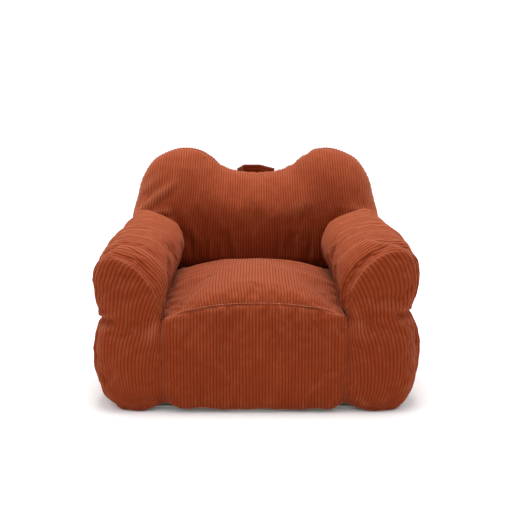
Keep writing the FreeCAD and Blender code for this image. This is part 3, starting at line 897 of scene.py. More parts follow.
# Folds of the lower sides, from one (y, z) to another: short tucks that hang from the waist.
SIDE_FOLDS = [
    ((-0.270, 0.262), (-0.255, 0.170), 0.011, 0.0040),
    ((-0.180, 0.262), (-0.200, 0.190), 0.010, 0.0035),
    ((-0.080, 0.262), (-0.060, 0.150), 0.012, 0.0040),
    ((0.030, 0.262), (0.015, 0.180), 0.010, 0.0035),
    ((0.110, 0.262), (0.140, 0.140), 0.012, 0.0045),
    ((-0.300, 0.020), (-0.180, 0.070), 0.010, 0.0035),
    ((0.160, 0.020), (0.060, 0.080), 0.010, 0.0035),
]


def listed_folds(across, up, folds):
    return sum(crease(across, up, *fold) for fold in folds)


def inside_back_folds(net):
    return listed_folds(net[..., 0], net[..., 2], INSIDE_BACK_FOLDS)


def outside_back_folds(net):
    folds = listed_folds(net[..., 0], net[..., 2], OUTSIDE_BACK_FOLDS)
    return folds * (net[..., 1] > 0.31) * (1 - near_zip(net))


def side_folds(side, net):
    return listed_folds(net[..., 1] * (1 + 0.15 * side), net[..., 2], SIDE_FOLDS)


def arm_front_folds(side, net):
    height = net[..., 2] - WAIST_HEIGHT[side]
    return listed_folds(side * net[..., 0], height, ARM_FRONT_FOLDS)


def arm_folds(side, net):
    """Folds that run over the arm with the wales: a few big ones and many ripples."""
    chance = np.random.default_rng(12 + side)
    over = np.linspace(0, 1, net.shape[0])[:, None]
    folds = np.zeros(net.shape[:2])
    places = np.linspace(-0.305, 0.175, 8) + chance.uniform(-0.016, 0.016, 8)
    for number, place in enumerate(places):
        lean = chance.uniform(-0.035, 0.035)
        wave = place + lean * (over - 0.5) + 0.007 * np.sin(over * 11 + number * 2.3)
        width = chance.uniform(0.008, 0.013)
        off = net[..., 1] - wave
        ridge = bump(0, width, off) - 0.5 * bump(1.6 * width, width, off)
        reach = bump(chance.uniform(0.42, 0.62), chance.uniform(0.18, 0.30), over)
        folds += chance.uniform(0.0035, 0.0060) * ridge * reach
    for number in range(34):
        place, middle = chance.uniform(-0.33, 0.18), chance.uniform(0.30, 0.85)
        lean = chance.uniform(-0.09, 0.09)
        off = net[..., 1] - place - lean * (over - middle)
        reach = bump(middle, chance.uniform(0.05, 0.12), over)
        depth = chance.uniform(-0.0018, 0.0024)
        folds += depth * bump(0, chance.uniform(0.004, 0.007), off) * reach
    return folds


def gathers(along, away, reach, seed, pitch=0.021, depth=0.0016):
    """Small puckers that start at a seam, away from it by less than their reach."""
    chance = np.random.default_rng(seed)
    knots = np.arange(along.min() - pitch, along.max() + pitch, pitch / 2)
    size = np.interp(along, knots, chance.uniform(-1, 1, len(knots)))
    return depth * size * smooth_step(reach, 0, away)


def front_folds(net):
    x, z = net[..., 0], net[..., 2]
    share = (x + SEAM_X[-1]) / (SEAM_X[-1] + SEAM_X[1])
    folds = gathers(x, abs(z - front_seam(share)[..., 2]), 0.045, 3)
    return folds + gathers(x, z, 0.060, 4, 0.030, 0.0030)


def seat_folds(net):
    x, y = net[..., 0], net[..., 1]
    folds = gathers(x, y + 0.385, 0.060, 5) + gathers(x, 0.180 - y, 0.090, 6, 0.030, 0.0035)
    return folds + gathers(y, 0.240 - abs(x), 0.050, 7, 0.040, 0.0025)


PANEL_FOLDS = {
    "seat_panel": seat_folds,
    "front_panel": front_folds,
    "inside_back_panel": inside_back_folds,
    "outside_back_panel": outside_back_folds,
}
for side, word in ((-1, "left"), (1, "right")):
    PANEL_FOLDS[f"{word}_arm_panel"] = partial(arm_folds, side)
    PANEL_FOLDS[f"{word}_arm_front_panel"] = partial(arm_front_folds, side)
    PANEL_FOLDS[f"{word}_side_panel"] = partial(side_folds, side)

for name in PANELS:
    sew_panel(name, PANEL_FOLDS[name])


# ---- Seat front: top-stitch
# One row of pale thread holds the seat's seam allowance down along its front edge. Each
# stitch is a short thread that dips into the cloth at both ends.
THREAD_RADIUS = 0.00055
STITCH_PITCH = 0.0075
THREAD_COLOUR = (0.56, 0.24, 0.125, 1)
THREAD_SHADOW = (0.42, 0.150, 0.070, 1)
STITCH_SHAPE = (-0.6, 0.8, 1.2, 0.8, -0.6)


def thread_finish():
    material, shade, shader = new_finish("pale_thread", THREAD_COLOUR, 0.6)
    twist = shade.bands("DIAGONAL", 900.0, 1.5)
    feed(shader, "Base Color", twist.mix(THREAD_SHADOW, THREAD_COLOUR))
    feed_bump(shader, twist, 0.4, 0.0004)
    return material


thread = thread_finish()


def heading(line):
    """Unit direction of a line at each of its points."""
    ahead = np.gradient(line, axis=0)
    return ahead / np.linalg.norm(ahead, axis=1, keepdims=True)


def tube(line, radius, sides=6):
    """Rings round a line of points, as an array of rows for join_grids."""
    line = np.asarray(line, float)
    ahead = heading(line)
    helper = np.where(abs(ahead[:, 2:]) < 0.9, [[0, 0, 1]], [[1, 0, 0]])
    side = np.cross(ahead, helper)
    side /= np.linalg.norm(side, axis=1, keepdims=True)
    up = np.cross(side, ahead)
    angle = np.linspace(0, 2 * np.pi, sides, endpoint=False)[None, :, None]
    ring = side[:, None] * np.cos(angle) + up[:, None] * np.sin(angle)
    return line[:, None] + ring * np.reshape(radius, (-1, 1, 1))


def join_grids(name, grids):
    """One mesh of several separate tubes with closed ends."""
    points, faces, start = [], [], 0
    for grid in grids:
        index, quads = number_net(grid, start, closed=True)
        faces += quads + [index[0][::-1].tolist(), index[-1].tolist()]
        points += grid.reshape(-1, 3).tolist()
        start += index.size
    mesh = bpy.data.meshes.new(name)
    mesh.from_pydata(points, [], faces)
    mesh.shade_smooth()
    return mesh


def stitch_row(line, normal, pitch=STITCH_PITCH, radius=THREAD_RADIUS):
    """Stitches along a dense line, each raised in its middle and sunk at its ends."""
    length = np.linalg.norm(np.diff(line, axis=0), axis=1).sum()
    count = int(length / pitch)
    steps = len(STITCH_SHAPE) + 1
    dense = resample(np.concatenate([line, normal], axis=1), count * steps + 1)
    lift = np.array(STITCH_SHAPE)[:, None] * radius
    threads = []
    for start in range(0, count * steps, steps):
        part = dense[start : start + len(STITCH_SHAPE)]
        threads.append(tube(part[:, :3] + part[:, 3:] * lift, radius))
    return threads


def finished(name, mesh, material, body, slot, *replaced):
    """Links a piece, gives it its finish, ties it to its body and hides the CAD nodes it replaces.
    """
    item = link_object(name, mesh)
    item.data.materials.append(material)
    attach(item, body)
    if replaced:
        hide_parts(*replaced)
    return item


seat = shown_nets["seat_panel"]
threads = join_grids("topstitch", stitch_row(seat[1], net_normals(seat)[1]))
finished("seat_front_topstitch", threads, thread, "root", "thread", "seat_front_stitch")


# ---- Carry handle
# A strap of the same corduroy, doubled and stitched along both edges. It stands behind the
# dip of the back, and its turned-out ends are sewn flat on the outside back.
HANDLE_TILT = math.radians(12)
HANDLE_SHIFT = (-0.0050, 0, -0.0013)
HANDLE_FLOP = 0.0110
STRAP_HALF = 0.0155
STRAP_THICK = 0.0042
STRAP_RIBS = 3
STRAP_RIB_HEIGHT = 0.0012
# Painted shade for the grooves between the strap's ribs.
STRAP_GROOVE_SHADE = (0.075, 0.0085, 0.0022, 1)
TAB_STEPS = 14
TAB_REACH = (0.050, 0.080)


def strap_finish():
    material, shade, shader = new_finish("strap_pile", RUST_DEEP, 0.9, **PALE_PILE)
    speckle = shade.noise(700.0, 2.0)
    pile = (0.15 + speckle * 0.4).mix(RUST_DEEP, RUST_RIB)
    # Painted shade in the strap's grooves, darker where the rib is low.
    feed(shader, "Base Color", shade.drawn("rib").mix(STRAP_GROOVE_SHADE, pile))
    feed_bump(shader, speckle, 0.25, 0.001)
    return material


strap_pile = strap_finish()


def strap_rings(line, out, width):
    """Sections of the strap along a line: out is its thickness direction, width its width."""
    count = STRAP_RIBS * 8
    share = np.linspace(-1, 1, count + 1)
    rib = np.sqrt(np.maximum(0, 1 - (2 * ((share + 1) / 2 * STRAP_RIBS % 1) - 1) ** 2))
    depth = STRAP_THICK / 2 - STRAP_RIB_HEIGHT + STRAP_RIB_HEIGHT * rib
    depth *= (1 - abs(share) ** 8) ** 0.5 * 0.85 + 0.15
    across = np.concatenate([share, share[::-1]])
    offset = np.concatenate([depth, -depth[::-1]])
    rings = line[:, None] + width[:, None] * (across * STRAP_HALF)[None, :, None]
    rings = rings + out[:, None] * offset[None, :, None]
    return rings, np.concatenate([rib, rib[::-1]])


def strap_mesh(name, line, out, width):
    rings, rib = strap_rings(line, out, width)
    mesh = join_grids(name, [rings])
    # The rib heights set the strap's painted groove shade.
    add_value(mesh, "rib", np.tile(rib, len(line)))
    return mesh


joint = next(item for item in frame["joints"] if item["name"] == "handle_swing")
hinge = np.array(joint["pos_m"], float)
rise_way = np.array([0, math.cos(HANDLE_TILT), math.sin(HANDLE_TILT)])
width_way = np.array([0, -math.sin(HANDLE_TILT), math.cos(HANDLE_TILT)])
back_shell = upsample(nets["outside_back_panel"], 240, 240).reshape(-1, 3)


def shell_patch(x, y):
    """Smooth height of the outside back round a place seen from above, as a function."""
    top = back_shell[back_shell[:, 2] > 0.45]
    near = top[np.hypot(top[:, 0] - x, top[:, 1] - y) < 0.030]

    def terms(a, b):
        a, b = a - x, b - y
        return np.stack([a**0, a, b, a * b, a * a, b * b], axis=-1)

    factors = np.linalg.lstsq(terms(near[:, 0], near[:, 1]), near[:, 2], rcond=None)[0]
    return lambda a, b: terms(a, b) @ factors


def strap_arch():
    """The loop's middle line in (x, rise) of its own slanted plane, with rounded bends."""
    half = [(0.0, 0.0320), (0.020, 0.0322), (0.0280, 0.0305), (0.0340, 0.0245), (0.0410, 0.0150),
            (0.0485, 0.0060), (0.0545, -0.0010), (0.0610, -0.0070)]
    right = even_curve(half, 40)
    left = right[:0:-1] * (-1, 1)
    flat = np.concatenate([left, right])
    flat[:, 0] -= HANDLE_FLOP * flat[:, 1] / half[0][1]
    line = hinge + HANDLE_SHIFT + flat[:, :1] * np.array([1.0, 0, 0]) + flat[:, 1:] * rise_way
    width = np.tile(width_way, (len(line), 1))
    return line, np.cross(heading(line), width), width


line, out, width = strap_arch()
strap = link_object("carry_handle_strap", strap_mesh("carry_handle_strap", line, out, width))
strap.data.materials.append(strap_pile)
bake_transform(strap)
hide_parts("carry_handle")

for side, word in ((-1, "left"), (1, "right")):
    low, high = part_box(f"{word}_handle_end")
    x = np.linspace(*TAB_REACH, TAB_STEPS) * side
    middle_y = (low.y + high.y) / 2
    fall = STRAP_HALF * 0.8
    height = shell_patch(x.mean(), middle_y)
    edges_y = (np.full(TAB_STEPS, middle_y - fall), np.full(TAB_STEPS, middle_y + fall))
    front, rear = (np.stack([x, y, height(x, y)], axis=1) for y in edges_y)
    line = (front + rear) / 2
    slope = (front - rear)[TAB_STEPS // 2]
    width = np.tile(slope / np.linalg.norm(slope), (TAB_STEPS, 1))
    out = np.cross(heading(line), width)
    out *= np.sign(out[:, 2:])
    line = line + out * (STRAP_THICK * 0.4 + WALE_HEIGHT / 2)
    name = f"{word}_handle_tab"
    mesh = strap_mesh(name, line, out, width)
    finished(name, mesh, strap_pile, "root", "handle_corduroy", f"{word}_handle_end")
    edge = STRAP_HALF * 0.78
    raised = STRAP_THICK * 0.5
    corners = [line[2] - width[2] * edge, line[-2] - width[2] * edge,
               line[-2] + width[2] * edge, line[2] + width[2] * edge]
    corners = [corner + out[5] * raised for corner in corners]
    threads = []
    for a, b in ((0, 1), (1, 2), (2, 3), (3, 0), (0, 2), (1, 3)):
        run = corners[a] + (corners[b] - corners[a]) * np.linspace(0, 1, 30)[:, None]
        threads += stitch_row(run, np.tile(out[5], (30, 1)), 0.0035, 0.0004)
    mesh = join_grids("box_stitch", threads)
    finished(f"{word}_handle_box_stitch", mesh, thread, "root", "thread")


# ---- Zip tapes
# Two woven polyester tapes across the foot of the outside back, through which the liners
# are put in. Each is sewn under the turned-in edge of the cover's corduroy.
def tape_finish():
    material, shade, shader = new_finish("woven_tape", (0.20, 0.036, 0.011, 1), 0.75)
    along = shade.bands("X", 420.0, 0.6, 1.0)
    twill = shade.bands("DIAGONAL", 420.0, 0.6, 1.0)
    weave = along * 0.6 + twill * 0.4
    feed(shader, "Base Color", weave.mix((0.085, 0.013, 0.004, 1), (0.22, 0.040, 0.013, 1)))
    feed(shader, "Roughness", 0.85 - weave * 0.25)
    feed_bump(shader, weave, 0.5, 0.0004)
    return material


def dress(node, material):
    """Gives a CAD node that stays in view its finish."""
    for place in frame["nodes"][node].material_slots:
        place.material = material


woven_tape = tape_finish()
dress("zip_tape_upper", woven_tape)
dress("zip_tape_lower", woven_tape)


# ---- Zip edges
# The cover's corduroy is folded under along both sides of the zip and top-stitched through
# the tape, so that only a narrow strip of the tape and the coils shows.
EDGE_PROFILE = [
    (0.0320, -0.0030), (0.0290, 0.0005), (0.0255, 0.0026), (0.0200, 0.0032), (0.0150, 0.0033),
    (0.0118, 0.0030), (0.0100, 0.0022), (0.0094, 0.0013), (0.0104, 0.0006), (0.0130, 0.0003),
]
EDGE_REACH = 0.306
EDGE_STITCH_ROW = 6
tape_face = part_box("zip_tape_upper")[1].y


def zip_edge(word, sign):
    """Folded strip with upright wales beside the coils on one side, and its stitches."""
    columns = round(2 * EDGE_REACH / WALE) * COLUMNS_PER_WALE + 1
    x = np.linspace(-EDGE_REACH, EDGE_REACH, columns)
    profile = even_curve(EDGE_PROFILE, 18)
    rib = wale_profile(columns)
    top = smooth_step(-0.0030, 0.0020, profile[:, 1])
    net = np.zeros((len(profile), columns, 3))
    net[..., 0] = x
    wander = 0.0006 * np.sin(x * 37) + 0.0004 * np.sin(x * 91 + sign)
    net[..., 1] = tape_face + profile[:, 1:] + 0.0011 * rib * top[:, None]
    net[..., 2] = ZIP_HEIGHT + sign * (profile[:, :1] + wander)
    net = net[:, ::-1] if sign > 0 else net
    mesh = grid_mesh(f"zip_edge_{word}", net)
    # The rib heights also set the corduroy's painted groove shade along this strip.
    add_value(mesh, "rib", np.tile(rib, len(profile)))
    finished(f"zip_edge_{word}", mesh, corduroy, "root", "corduroy")
    lift = np.tile([0, 1.0, 0], (columns, 1))
    threads = stitch_row(net[EDGE_STITCH_ROW] + lift * 0.0002, lift, 0.0045, 0.0004)
    mesh = join_grids(f"zip_stitch_{word}", threads)
    finished(f"zip_stitch_{word}", mesh, thread, "root", "thread")


zip_edge("upper", 1)
zip_edge("lower", -1)


# ---- Zip coils
# Each half of the zip is one nylon thread wound into a coil and sewn along its tape's edge.
# The turns of one coil stand between the turns of the other.
COIL_PITCH = 0.0016
COIL_THREAD = 0.00034
COIL_HALF_DEEP = 0.00088
COIL_HALF_TALL = 0.00122
STEPS_PER_TURN = 9


def nylon_finish():
    material, shade, shader = new_finish("dyed_nylon", (0.13, 0.024, 0.0085, 1), 0.38)
    cloudy = shade.noise(240.0, 2.0)
    feed(shader, "Base Color", cloudy.mix((0.10, 0.017, 0.006, 1), (0.17, 0.033, 0.012, 1)))
    feed(shader, "Roughness", 0.30 + cloudy * 0.18)
    return material


nylon = nylon_finish()


def wind_coil(word, shift):
    low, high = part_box(f"zip_coil_{word}")
    turns = int((high.x - low.x) / COIL_PITCH) - 1
    angle = np.linspace(0, 2 * np.pi * turns, turns * STEPS_PER_TURN + 1)
    x = low.x + COIL_PITCH * (angle / (2 * np.pi) + shift)
    y = (low.y + high.y) / 2 + COIL_HALF_DEEP * np.cos(angle)
    z = (low.z + high.z) / 2 + COIL_HALF_TALL * np.sin(angle)
    wire = tube(np.stack([x, y, z], axis=1), COIL_THREAD, 5)
    mesh = join_grids(f"zip_coil_{word}_teeth", [wire])
    finished(f"zip_coil_{word}_teeth", mesh, nylon, "root", "zip_nylon", f"zip_coil_{word}")


wind_coil("upper", 0.25)
wind_coil("lower", 0.75)


# ---- Zip end stops
# A small metal clip is crimped over both coils at each end of the zip. It is painted to
# match the cover.
PAINT = (0.105, 0.020, 0.0075, 1)
PAINT_DARK = (0.085, 0.015, 0.0055, 1)
PAINT_WORN = (0.14, 0.028, 0.011, 1)


def painted_metal_finish():
    material, shade, shader = new_finish("painted_metal", PAINT, 0.35, Coat_Weight=0.25)
    worn = shade.noise(160.0, 3.0)
    chips = shade.noise(520.0, 2.0)
    feed(shader, "Base Color", (worn * 1.3 - 0.2).mix(PAINT_DARK, PAINT_WORN))
    feed(shader, "Roughness", 0.28 + worn * 0.22)
    feed_bump(shader, chips, 0.08, 0.0002)
    return material


painted_metal = painted_metal_finish()


def rounded_outline(half_x, half_z, corner, count=8):
    """Closed rectangle in x and z with rounded corners."""
    points = []
    for number, (sx, sz) in enumerate(((1, 1), (-1, 1), (-1, -1), (1, -1))):
        for angle in np.linspace(0, np.pi / 2, count) + number * np.pi / 2:
            points.append((sx * (half_x - corner) + corner * math.cos(angle),
                           sz * (half_z - corner) + corner * math.sin(angle)))
    return np.array(points)


def plate_rings(outline, centre, low_y, high_y, edge):
    """Rings of a plate between two heights in y, with edges rounded by the size edge."""
    middle = outline.mean(axis=0)
    size = abs(outline - middle).max(axis=0)
    rings = []
    for share in np.linspace(0, np.pi / 2, 4):
        rings.append((low_y + edge * (1 - math.sin(share)), edge * (1 - math.cos(share))))
    rings = rings[::-1] + [(high_y - y + low_y, inset) for y, inset in rings]
    grid = []
    for y, inset in rings:
        ring = middle + (outline - middle) * (1 - inset / size) + centre
        grid.append(np.insert(ring, 1, y, axis=1))
    return np.array(grid)


for word in ("left", "right"):
    low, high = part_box(f"zip_stop_{word}")
    centre = ((low.x + high.x) / 2, (low.z + high.z) / 2)
    outline = rounded_outline((high.x - low.x) / 2, (high.z - low.z) / 2, 0.0009)
    rings = plate_rings(outline, centre, low.y - 0.0008, high.y + 0.0003, 0.0005)
    groove = rounded_outline((high.x - low.x) / 2 + 0.0002, 0.0007, 0.0003)
    rib = plate_rings(groove, centre, high.y - 0.0002, high.y + 0.0006, 0.0002)
    mesh = join_grids(f"zip_stop_{word}_clip", [rings, rib])
    finished(f"zip_stop_{word}_clip", mesh, painted_metal, "root", "zip_metal", f"zip_stop_{word}")


# ---- Zip slider
# A die-cast shield that runs on the coils, wider at the end where they part, with a bail
# cast over it that holds the pull tab.
BAIL_WIRE = 0.00062
BAIL_FLATTENED = 1.8
SHIELD_TAPER = 0.16
low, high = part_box("zip_slider")
slider_x = (low.x + high.x) / 2
plate_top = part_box("zip_pull_tab")[0].y - 0.0010
half_long = (high.x - low.x) / 2
outline = rounded_outline(half_long, (high.z - low.z) / 2, 0.0022)
outline[:, 1] *= 1 - SHIELD_TAPER * np.maximum(0, -outline[:, 0] / half_long)
shield = plate_rings(outline, (slider_x, ZIP_HEIGHT), low.y, plate_top, 0.00045)
half = half_long - 0.0010
roof = high.y - BAIL_WIRE
arch = even_curve([
    (-half, plate_top - 0.0003), (-half, plate_top + 0.0016), (-half + 0.0008, roof - 0.0004),
    (-half + 0.0024, roof), (0.0, roof), (half - 0.0024, roof), (half - 0.0008, roof - 0.0004),
    (half, plate_top + 0.0016), (half, plate_top - 0.0003),
], 40)
line = np.stack([slider_x + arch[:, 0], arch[:, 1], np.full(40, ZIP_HEIGHT)], axis=1)
bail = tube(line, BAIL_WIRE, 10)
bail[..., 2] = ZIP_HEIGHT + (bail[..., 2] - ZIP_HEIGHT) * BAIL_FLATTENED
mesh = join_grids("zip_slider_shield", [shield, bail])
finished("zip_slider_shield", mesh, painted_metal, "zip_slider", "zip_metal", "zip_slider")


# ---- Zip pull tab
# A flat cast tab that hangs from the bail by its window, with three raised bars for grip.
low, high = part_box("zip_pull_tab")
pull_centre = ((low.x + high.x) / 2, ZIP_HEIGHT)
pull_half = ((high.x - low.x) / 2, (high.z - low.z) / 2)
window_half = (0.0025, 0.0019)
window_x = slider_x + 0.0037
pull_y = (low.y + high.y) / 2
# The tab's section, each point as its share of the way from the window to the outer edge
# and its height in half thicknesses.
PULL_SECTION = [
    (0, -0.45), (0, 0.45), (0.04, 0.85), (0.10, 1.0), (0.92, 1.0), (0.98, 0.85),
    (1, 0.45), (1, -0.45), (0.98, -0.85), (0.92, -1.0), (0.10, -1.0), (0.04, -0.85),
]


def pull_tab_rings():
    """Rings from the window's edge round the tab's thickness to its outer edge and back."""
    outer = rounded_outline(*pull_half, 0.0026) + pull_centre
    inner = rounded_outline(*window_half, 0.0009) + (window_x, ZIP_HEIGHT)
    thick = (high.y - low.y) / 2
    edge = 0.00030
    sections = []
    for share, y in PULL_SECTION:
        flat = inner + (outer - inner) * share
        if 0 < share < 1:
            near = outer if share > 0.5 else inner
            reach = np.linalg.norm(outer - inner, axis=1, keepdims=True)
            depth = edge * (1 if share in (0.04, 0.98) else 3)
            way = (outer - inner) / reach * (-1 if share > 0.5 else 1)
            flat = near + way * np.minimum(depth, reach * 0.3)
        sections.append(np.insert(flat, 1, pull_y + y * thick, axis=1))
    return np.array(sections)


def closed_band(name, rings, extra):
    """Mesh of rings that close on themselves both ways, with other closed pieces beside it."""
    looped = np.concatenate([rings, rings[:1]])
    band = grid_mesh(name, looped, closed=True)
    work = bmesh.new()
    work.from_mesh(band)
    work.from_mesh(join_grids(name + "_extra", extra))
    bmesh.ops.remove_doubles(work, verts=work.verts, dist=0.000005)
    bmesh.ops.recalc_face_normals(work, faces=work.faces)
    work.to_mesh(band)
    work.free()
    band.shade_smooth()
    return band


bars = []
for number in range(3):
    place = (high.x - 0.0045 - 0.0024 * number, ZIP_HEIGHT)
    outline = rounded_outline(0.0005, 0.0022, 0.0004, 4)
    bars.append(plate_rings(outline, place, high.y - 0.0002, high.y + 0.00035, 0.00018))
mesh = closed_band("zip_pull", pull_tab_rings(), bars)
finished("zip_pull", mesh, painted_metal, "zip_pull_tab", "zip_metal", "zip_pull_tab")


# ---- Care label
# A blank folded satin tape, stitched to the outside back along its top edge. Its free end
# curls a little off the corduroy.
def label_finish():
    material, shade, shader = new_finish("satin_tape", (0.60, 0.58, 0.53, 1), 0.45)
    weft = shade.bands("Z", 900.0, 0.4)
    feed(shader, "Base Color", weft.mix((0.52, 0.50, 0.45, 1), (0.66, 0.64, 0.59, 1)))
    feed(shader, "Roughness", 0.38 + weft * 0.2)
    feed_bump(shader, weft, 0.25, 0.0002)
    return material


def slab(net, thickness):
    """Rings of a closed sheet of cloth of a thickness round a net."""
    normal = net_normals(net)
    front = net + normal * thickness / 2
    rear = net - normal * thickness / 2
    return np.swapaxes(np.concatenate([front, rear[::-1]]), 0, 1)


low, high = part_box("care_label")
rear_points = shown_nets["outside_back_panel"].reshape(-1, 3)
near = (abs(rear_points[:, 0] - (low.x + high.x) / 2) < 0.024)
near &= (abs(rear_points[:, 2] - (low.z + high.z) / 2) < 0.020) & (rear_points[:, 1] > 0.3)
label_y = rear_points[near, 1].max() + 0.0006
across, drop = np.meshgrid(np.linspace(low.x, high.x, 19), np.linspace(0, 1, 15))
curl = 0.0030 * drop**2 * (1 + 0.4 * np.sin((across - low.x) * 120)) - 0.0006 * (1 - drop) ** 4
label_net = np.stack([across, label_y + curl, high.z + (low.z - high.z) * drop], axis=-1)
label_net = label_net[:, ::-1]
satin = label_finish()
mesh = join_grids("care_label_tape", [slab(label_net, 0.0007)])
finished("care_label_tape", mesh, satin, "root", "label_tape", "care_label")
line = label_net[1] + np.array([0, 0.0007, 0])
threads = stitch_row(resample(line, 40), np.tile([0, 1.0, 0], (40, 1)), 0.0028, 0.00028)
finished("care_label_stitch", join_grids("care_label_stitch", threads), thread, "root", "thread")


# ---- Base panel and partitions
# Pale non-woven lining closes the chair underneath and keeps the seat, arms and back apart
# inside. The base panel's edge shows a little below the middle of the front hem.
LINING_THICK = 0.0014
SHEET_ROWS = 24
SHEET_COLUMNS = 60


def lining_finish():
    material, shade, shader = new_finish("lining_cloth", (0.70, 0.66, 0.60, 1), 0.9)
    fibres = shade.noise(520.0, 4.0, (1, 2.2, 1))
    clouds = shade.noise(18.0, 2.0)
    tint = fibres * 0.6 + clouds * 0.4
    feed(shader, "Base Color", tint.mix((0.60, 0.56, 0.50, 1), (0.78, 0.75, 0.69, 1)))
    feed(shader, "Roughness", 0.82 + fibres * 0.15)
    feed_bump(shader, fibres, 0.35, 0.0006)
    return material


lining = lining_finish()


def ripple(a, b, size):
    """Low waves over a slack sheet."""
    return size * (np.sin(a * 31 + b * 7) + 0.6 * np.sin(b * 43 - a * 11 + 1)) / 1.6


low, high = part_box("base_panel")
share_x, share_y = np.meshgrid(np.linspace(-1, 1, 77), np.linspace(0, 1, 71))
corner = 1 - 0.10 * np.clip((abs(2 * share_y - 1) - 0.80) / 0.20, 0, 1) ** 2
x = share_x * high.x * corner
peek = 0.026 * smooth_step(0.115, 0.065, abs(x + 0.005)) * smooth_step(0.12, 0.0, share_y)
y = low.y + (high.y - low.y) * share_y - peek
z = 0.0016 + ripple(x, y, 0.0005)
base_net = np.stack([x, y, z], axis=-1)
mesh = join_grids("base_lining", [slab(base_net, LINING_THICK)])
finished("base_lining", mesh, lining, "root", "base_lining", "base_panel")


def standing_sheet(name, plan, low_z, high_z, node):
    """Lining partition that stands on a line in plan, from the base up to the cover."""
    line = resample(np.array(plan, float), SHEET_COLUMNS)
    tall = np.linspace(0, 1, SHEET_ROWS)
    net = np.zeros((SHEET_ROWS, SHEET_COLUMNS, 3))
    net[..., :2] = line
    net[..., 2] = low_z + (high_z - low_z) * tall[:, None]
    sway = ripple(net[..., 0] + net[..., 1], net[..., 2], 0.0012)
    net = net + net_normals(net) * (sway * np.sin(np.pi * tall)[:, None])[..., None]
    mesh = join_grids(name, [slab(net, LINING_THICK)])
    finished(name, mesh, lining, "root", "base_lining", node)


for side, word in ((-1, "left"), (1, "right")):
    low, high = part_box(f"{word}_arm_partition")
    inner, outer = sorted((abs(low.x), abs(high.x)))
    plan = [(side * (inner + 0.0015), low.y + 0.02), (side * (inner + 0.0015), high.y - 0.012),
            (side * (inner + 0.006), high.y - 0.0035), (side * (inner + 0.014), high.y - 0.0015),
            (side * (outer - 0.004), high.y - 0.0015)]
    name = f"{word}_arm_lining"
    standing_sheet(name, plan, low.z + 0.002, high.z - 0.008, f"{word}_arm_partition")
low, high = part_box("back_partition")
plan = [(low.x + 0.004, (low.y + high.y) / 2), (high.x - 0.004, (low.y + high.y) / 2)]
standing_sheet("back_lining", plan, low.z + 0.002, high.z - 0.008, "back_partition")


# ---- Liners and filling
# A thin white polyester bag in each arm, the seat and the back, packed with shredded foam.
# The foam shows its lumps through the bag, and the bag lies loosely in the cover.
VOXEL = 0.012
LINER_DEPTH = 0.0130
FILL_DEPTH = 0.0170
PACKED_SHARE = (0.93, 0.96, 0.95)
SMOOTHING_PASSES = 4
CHAMBER_PANELS = {
    "seat": ("seat_panel", "front_panel"),
    "back": ("inside_back_panel", "outside_back_panel"),
    "left_arm": ("left_arm_panel", "left_arm_front_panel", "left_side_panel"),
    "right_arm": ("right_arm_panel", "right_arm_front_panel", "right_side_panel"),
}


def liner_finish():
    material, shade, shader = new_finish("liner_polyester", (0.78, 0.78, 0.76, 1), 0.6)
    warp = shade.bands("X", 600.0, 0.3)
    weft = shade.bands("Z", 600.0, 0.3)
    weave = warp * 0.5 + weft * 0.5
    feed(shader, "Base Color", weave.mix((0.66, 0.66, 0.64, 1), (0.84, 0.84, 0.83, 1)))
    feed(shader, "Roughness", 0.5 + weave * 0.25)
    feed_bump(shader, weave, 0.3, 0.0003)
    return material


def foam_finish():
    material, shade, shader = new_finish("shredded_foam", (0.74, 0.67, 0.44, 1), 0.95)
    crumbs = shade.node("ShaderNodeTexVoronoi", None, {"Scale": 75.0, "Randomness": 1.0})
    cells = shade.noise(900.0, 2.0)
    tone = shade.noise(40.0, 2.0)
    pale = tone.mix((0.80, 0.76, 0.60, 1), (0.66, 0.58, 0.30, 1))
    feed(shader, "Base Color", (crumbs * 1.4).mix(pale, (0.42, 0.36, 0.20, 1)))
    feed_bump(shader, crumbs * 1.2 + cells * 0.5, 0.6, 0.004)
    return material


polyester = liner_finish()
foam = foam_finish()


def cover_tree(panels):
    """Search tree over some panels of the cover, for keeping things under them."""
    points, faces = [], []
    for name in panels:
        faces += number_net(nets[name], len(points))[1]
        points += nets[name].reshape(-1, 3).tolist()
    return BVHTree.FromPolygons(points, faces)


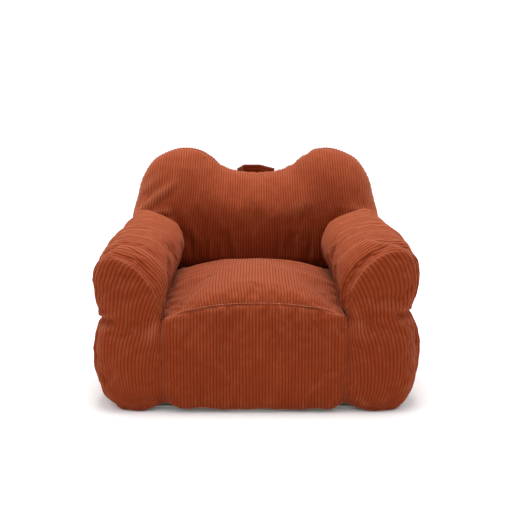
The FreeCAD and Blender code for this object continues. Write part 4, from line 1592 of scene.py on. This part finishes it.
def remeshed(node):
    """Even quads over a CAD solid, as a mesh of their own."""
    item = link_object(node + "_form", frame["nodes"][node].data.copy())
    remesh = item.modifiers.new("remesh", "REMESH")
    remesh.mode = "VOXEL"
    remesh.voxel_size = VOXEL
    smooth = item.modifiers.new("smooth", "SMOOTH")
    smooth.iterations = 6
    graph = bpy.context.evaluated_depsgraph_get()
    mesh = bpy.data.meshes.new_from_object(item.evaluated_get(graph))
    bpy.data.objects.remove(item)
    mesh.materials.clear()
    return mesh


def lumps(points, size):
    """Uneven swelling of packed foam."""
    x, y, z = (points * 58).T
    wave = np.sin(x + 2 * np.sin(y * 0.7)) + np.sin(y * 1.1 + 2 * np.sin(z * 0.6))
    return size * (wave + np.sin(z * 0.9 + 2 * np.sin(x * 0.8))) / 3


def under_cover(mesh, tree, depth, floor, lump):
    """Moves a form's points at least a depth under the cover, and up off the base panel."""
    points = np.empty(len(mesh.vertices) * 3)
    mesh.vertices.foreach_get("co", points)
    normal = np.empty(len(mesh.vertices) * 3)
    mesh.vertices.foreach_get("normal", normal)
    points = points.reshape(-1, 3)
    middle = (points.min(axis=0) + points.max(axis=0)) / 2
    points = middle + (points - middle) * PACKED_SHARE
    points += normal.reshape(-1, 3) * lumps(points, lump)[:, None]
    moved = np.zeros((len(points), 1))
    edges = np.empty(len(mesh.edges) * 2, int)
    mesh.edges.foreach_get("vertices", edges)
    a, b = edges.reshape(-1, 2).T
    links = np.bincount(edges, minlength=len(points))[:, None]
    for _ in range(SMOOTHING_PASSES):
        for number, point in enumerate(points):
            found, out, _, _ = tree.find_nearest(point.tolist())
            gap = (point - np.array(found)) @ np.array(out)
            if gap > -depth:
                points[number] = np.array(found) - np.array(out) * depth
                moved[number] = 1
        total = np.zeros_like(points)
        np.add.at(total, a, points[b])
        np.add.at(total, b, points[a])
        points += (total / links - points) * 0.5 * moved
    points[:, 2] = np.maximum(points[:, 2], floor)
    mesh.vertices.foreach_set("co", points.ravel())
    mesh.update()
    mesh.shade_smooth()


for chamber, panels in CHAMBER_PANELS.items():
    tree = cover_tree(panels)
    fill = remeshed(f"{chamber}_fill")
    bag = fill.copy()
    under_cover(fill, tree, FILL_DEPTH, 0.0065, 0.0030)
    under_cover(bag, tree, LINER_DEPTH, 0.0040, 0.0010)
    item = finished(f"{chamber}_foam", fill, foam, "root", "foam_fill", f"{chamber}_fill")
    item = finished(f"{chamber}_bag", bag, polyester, "root", "liner_cloth", f"{chamber}_liner")
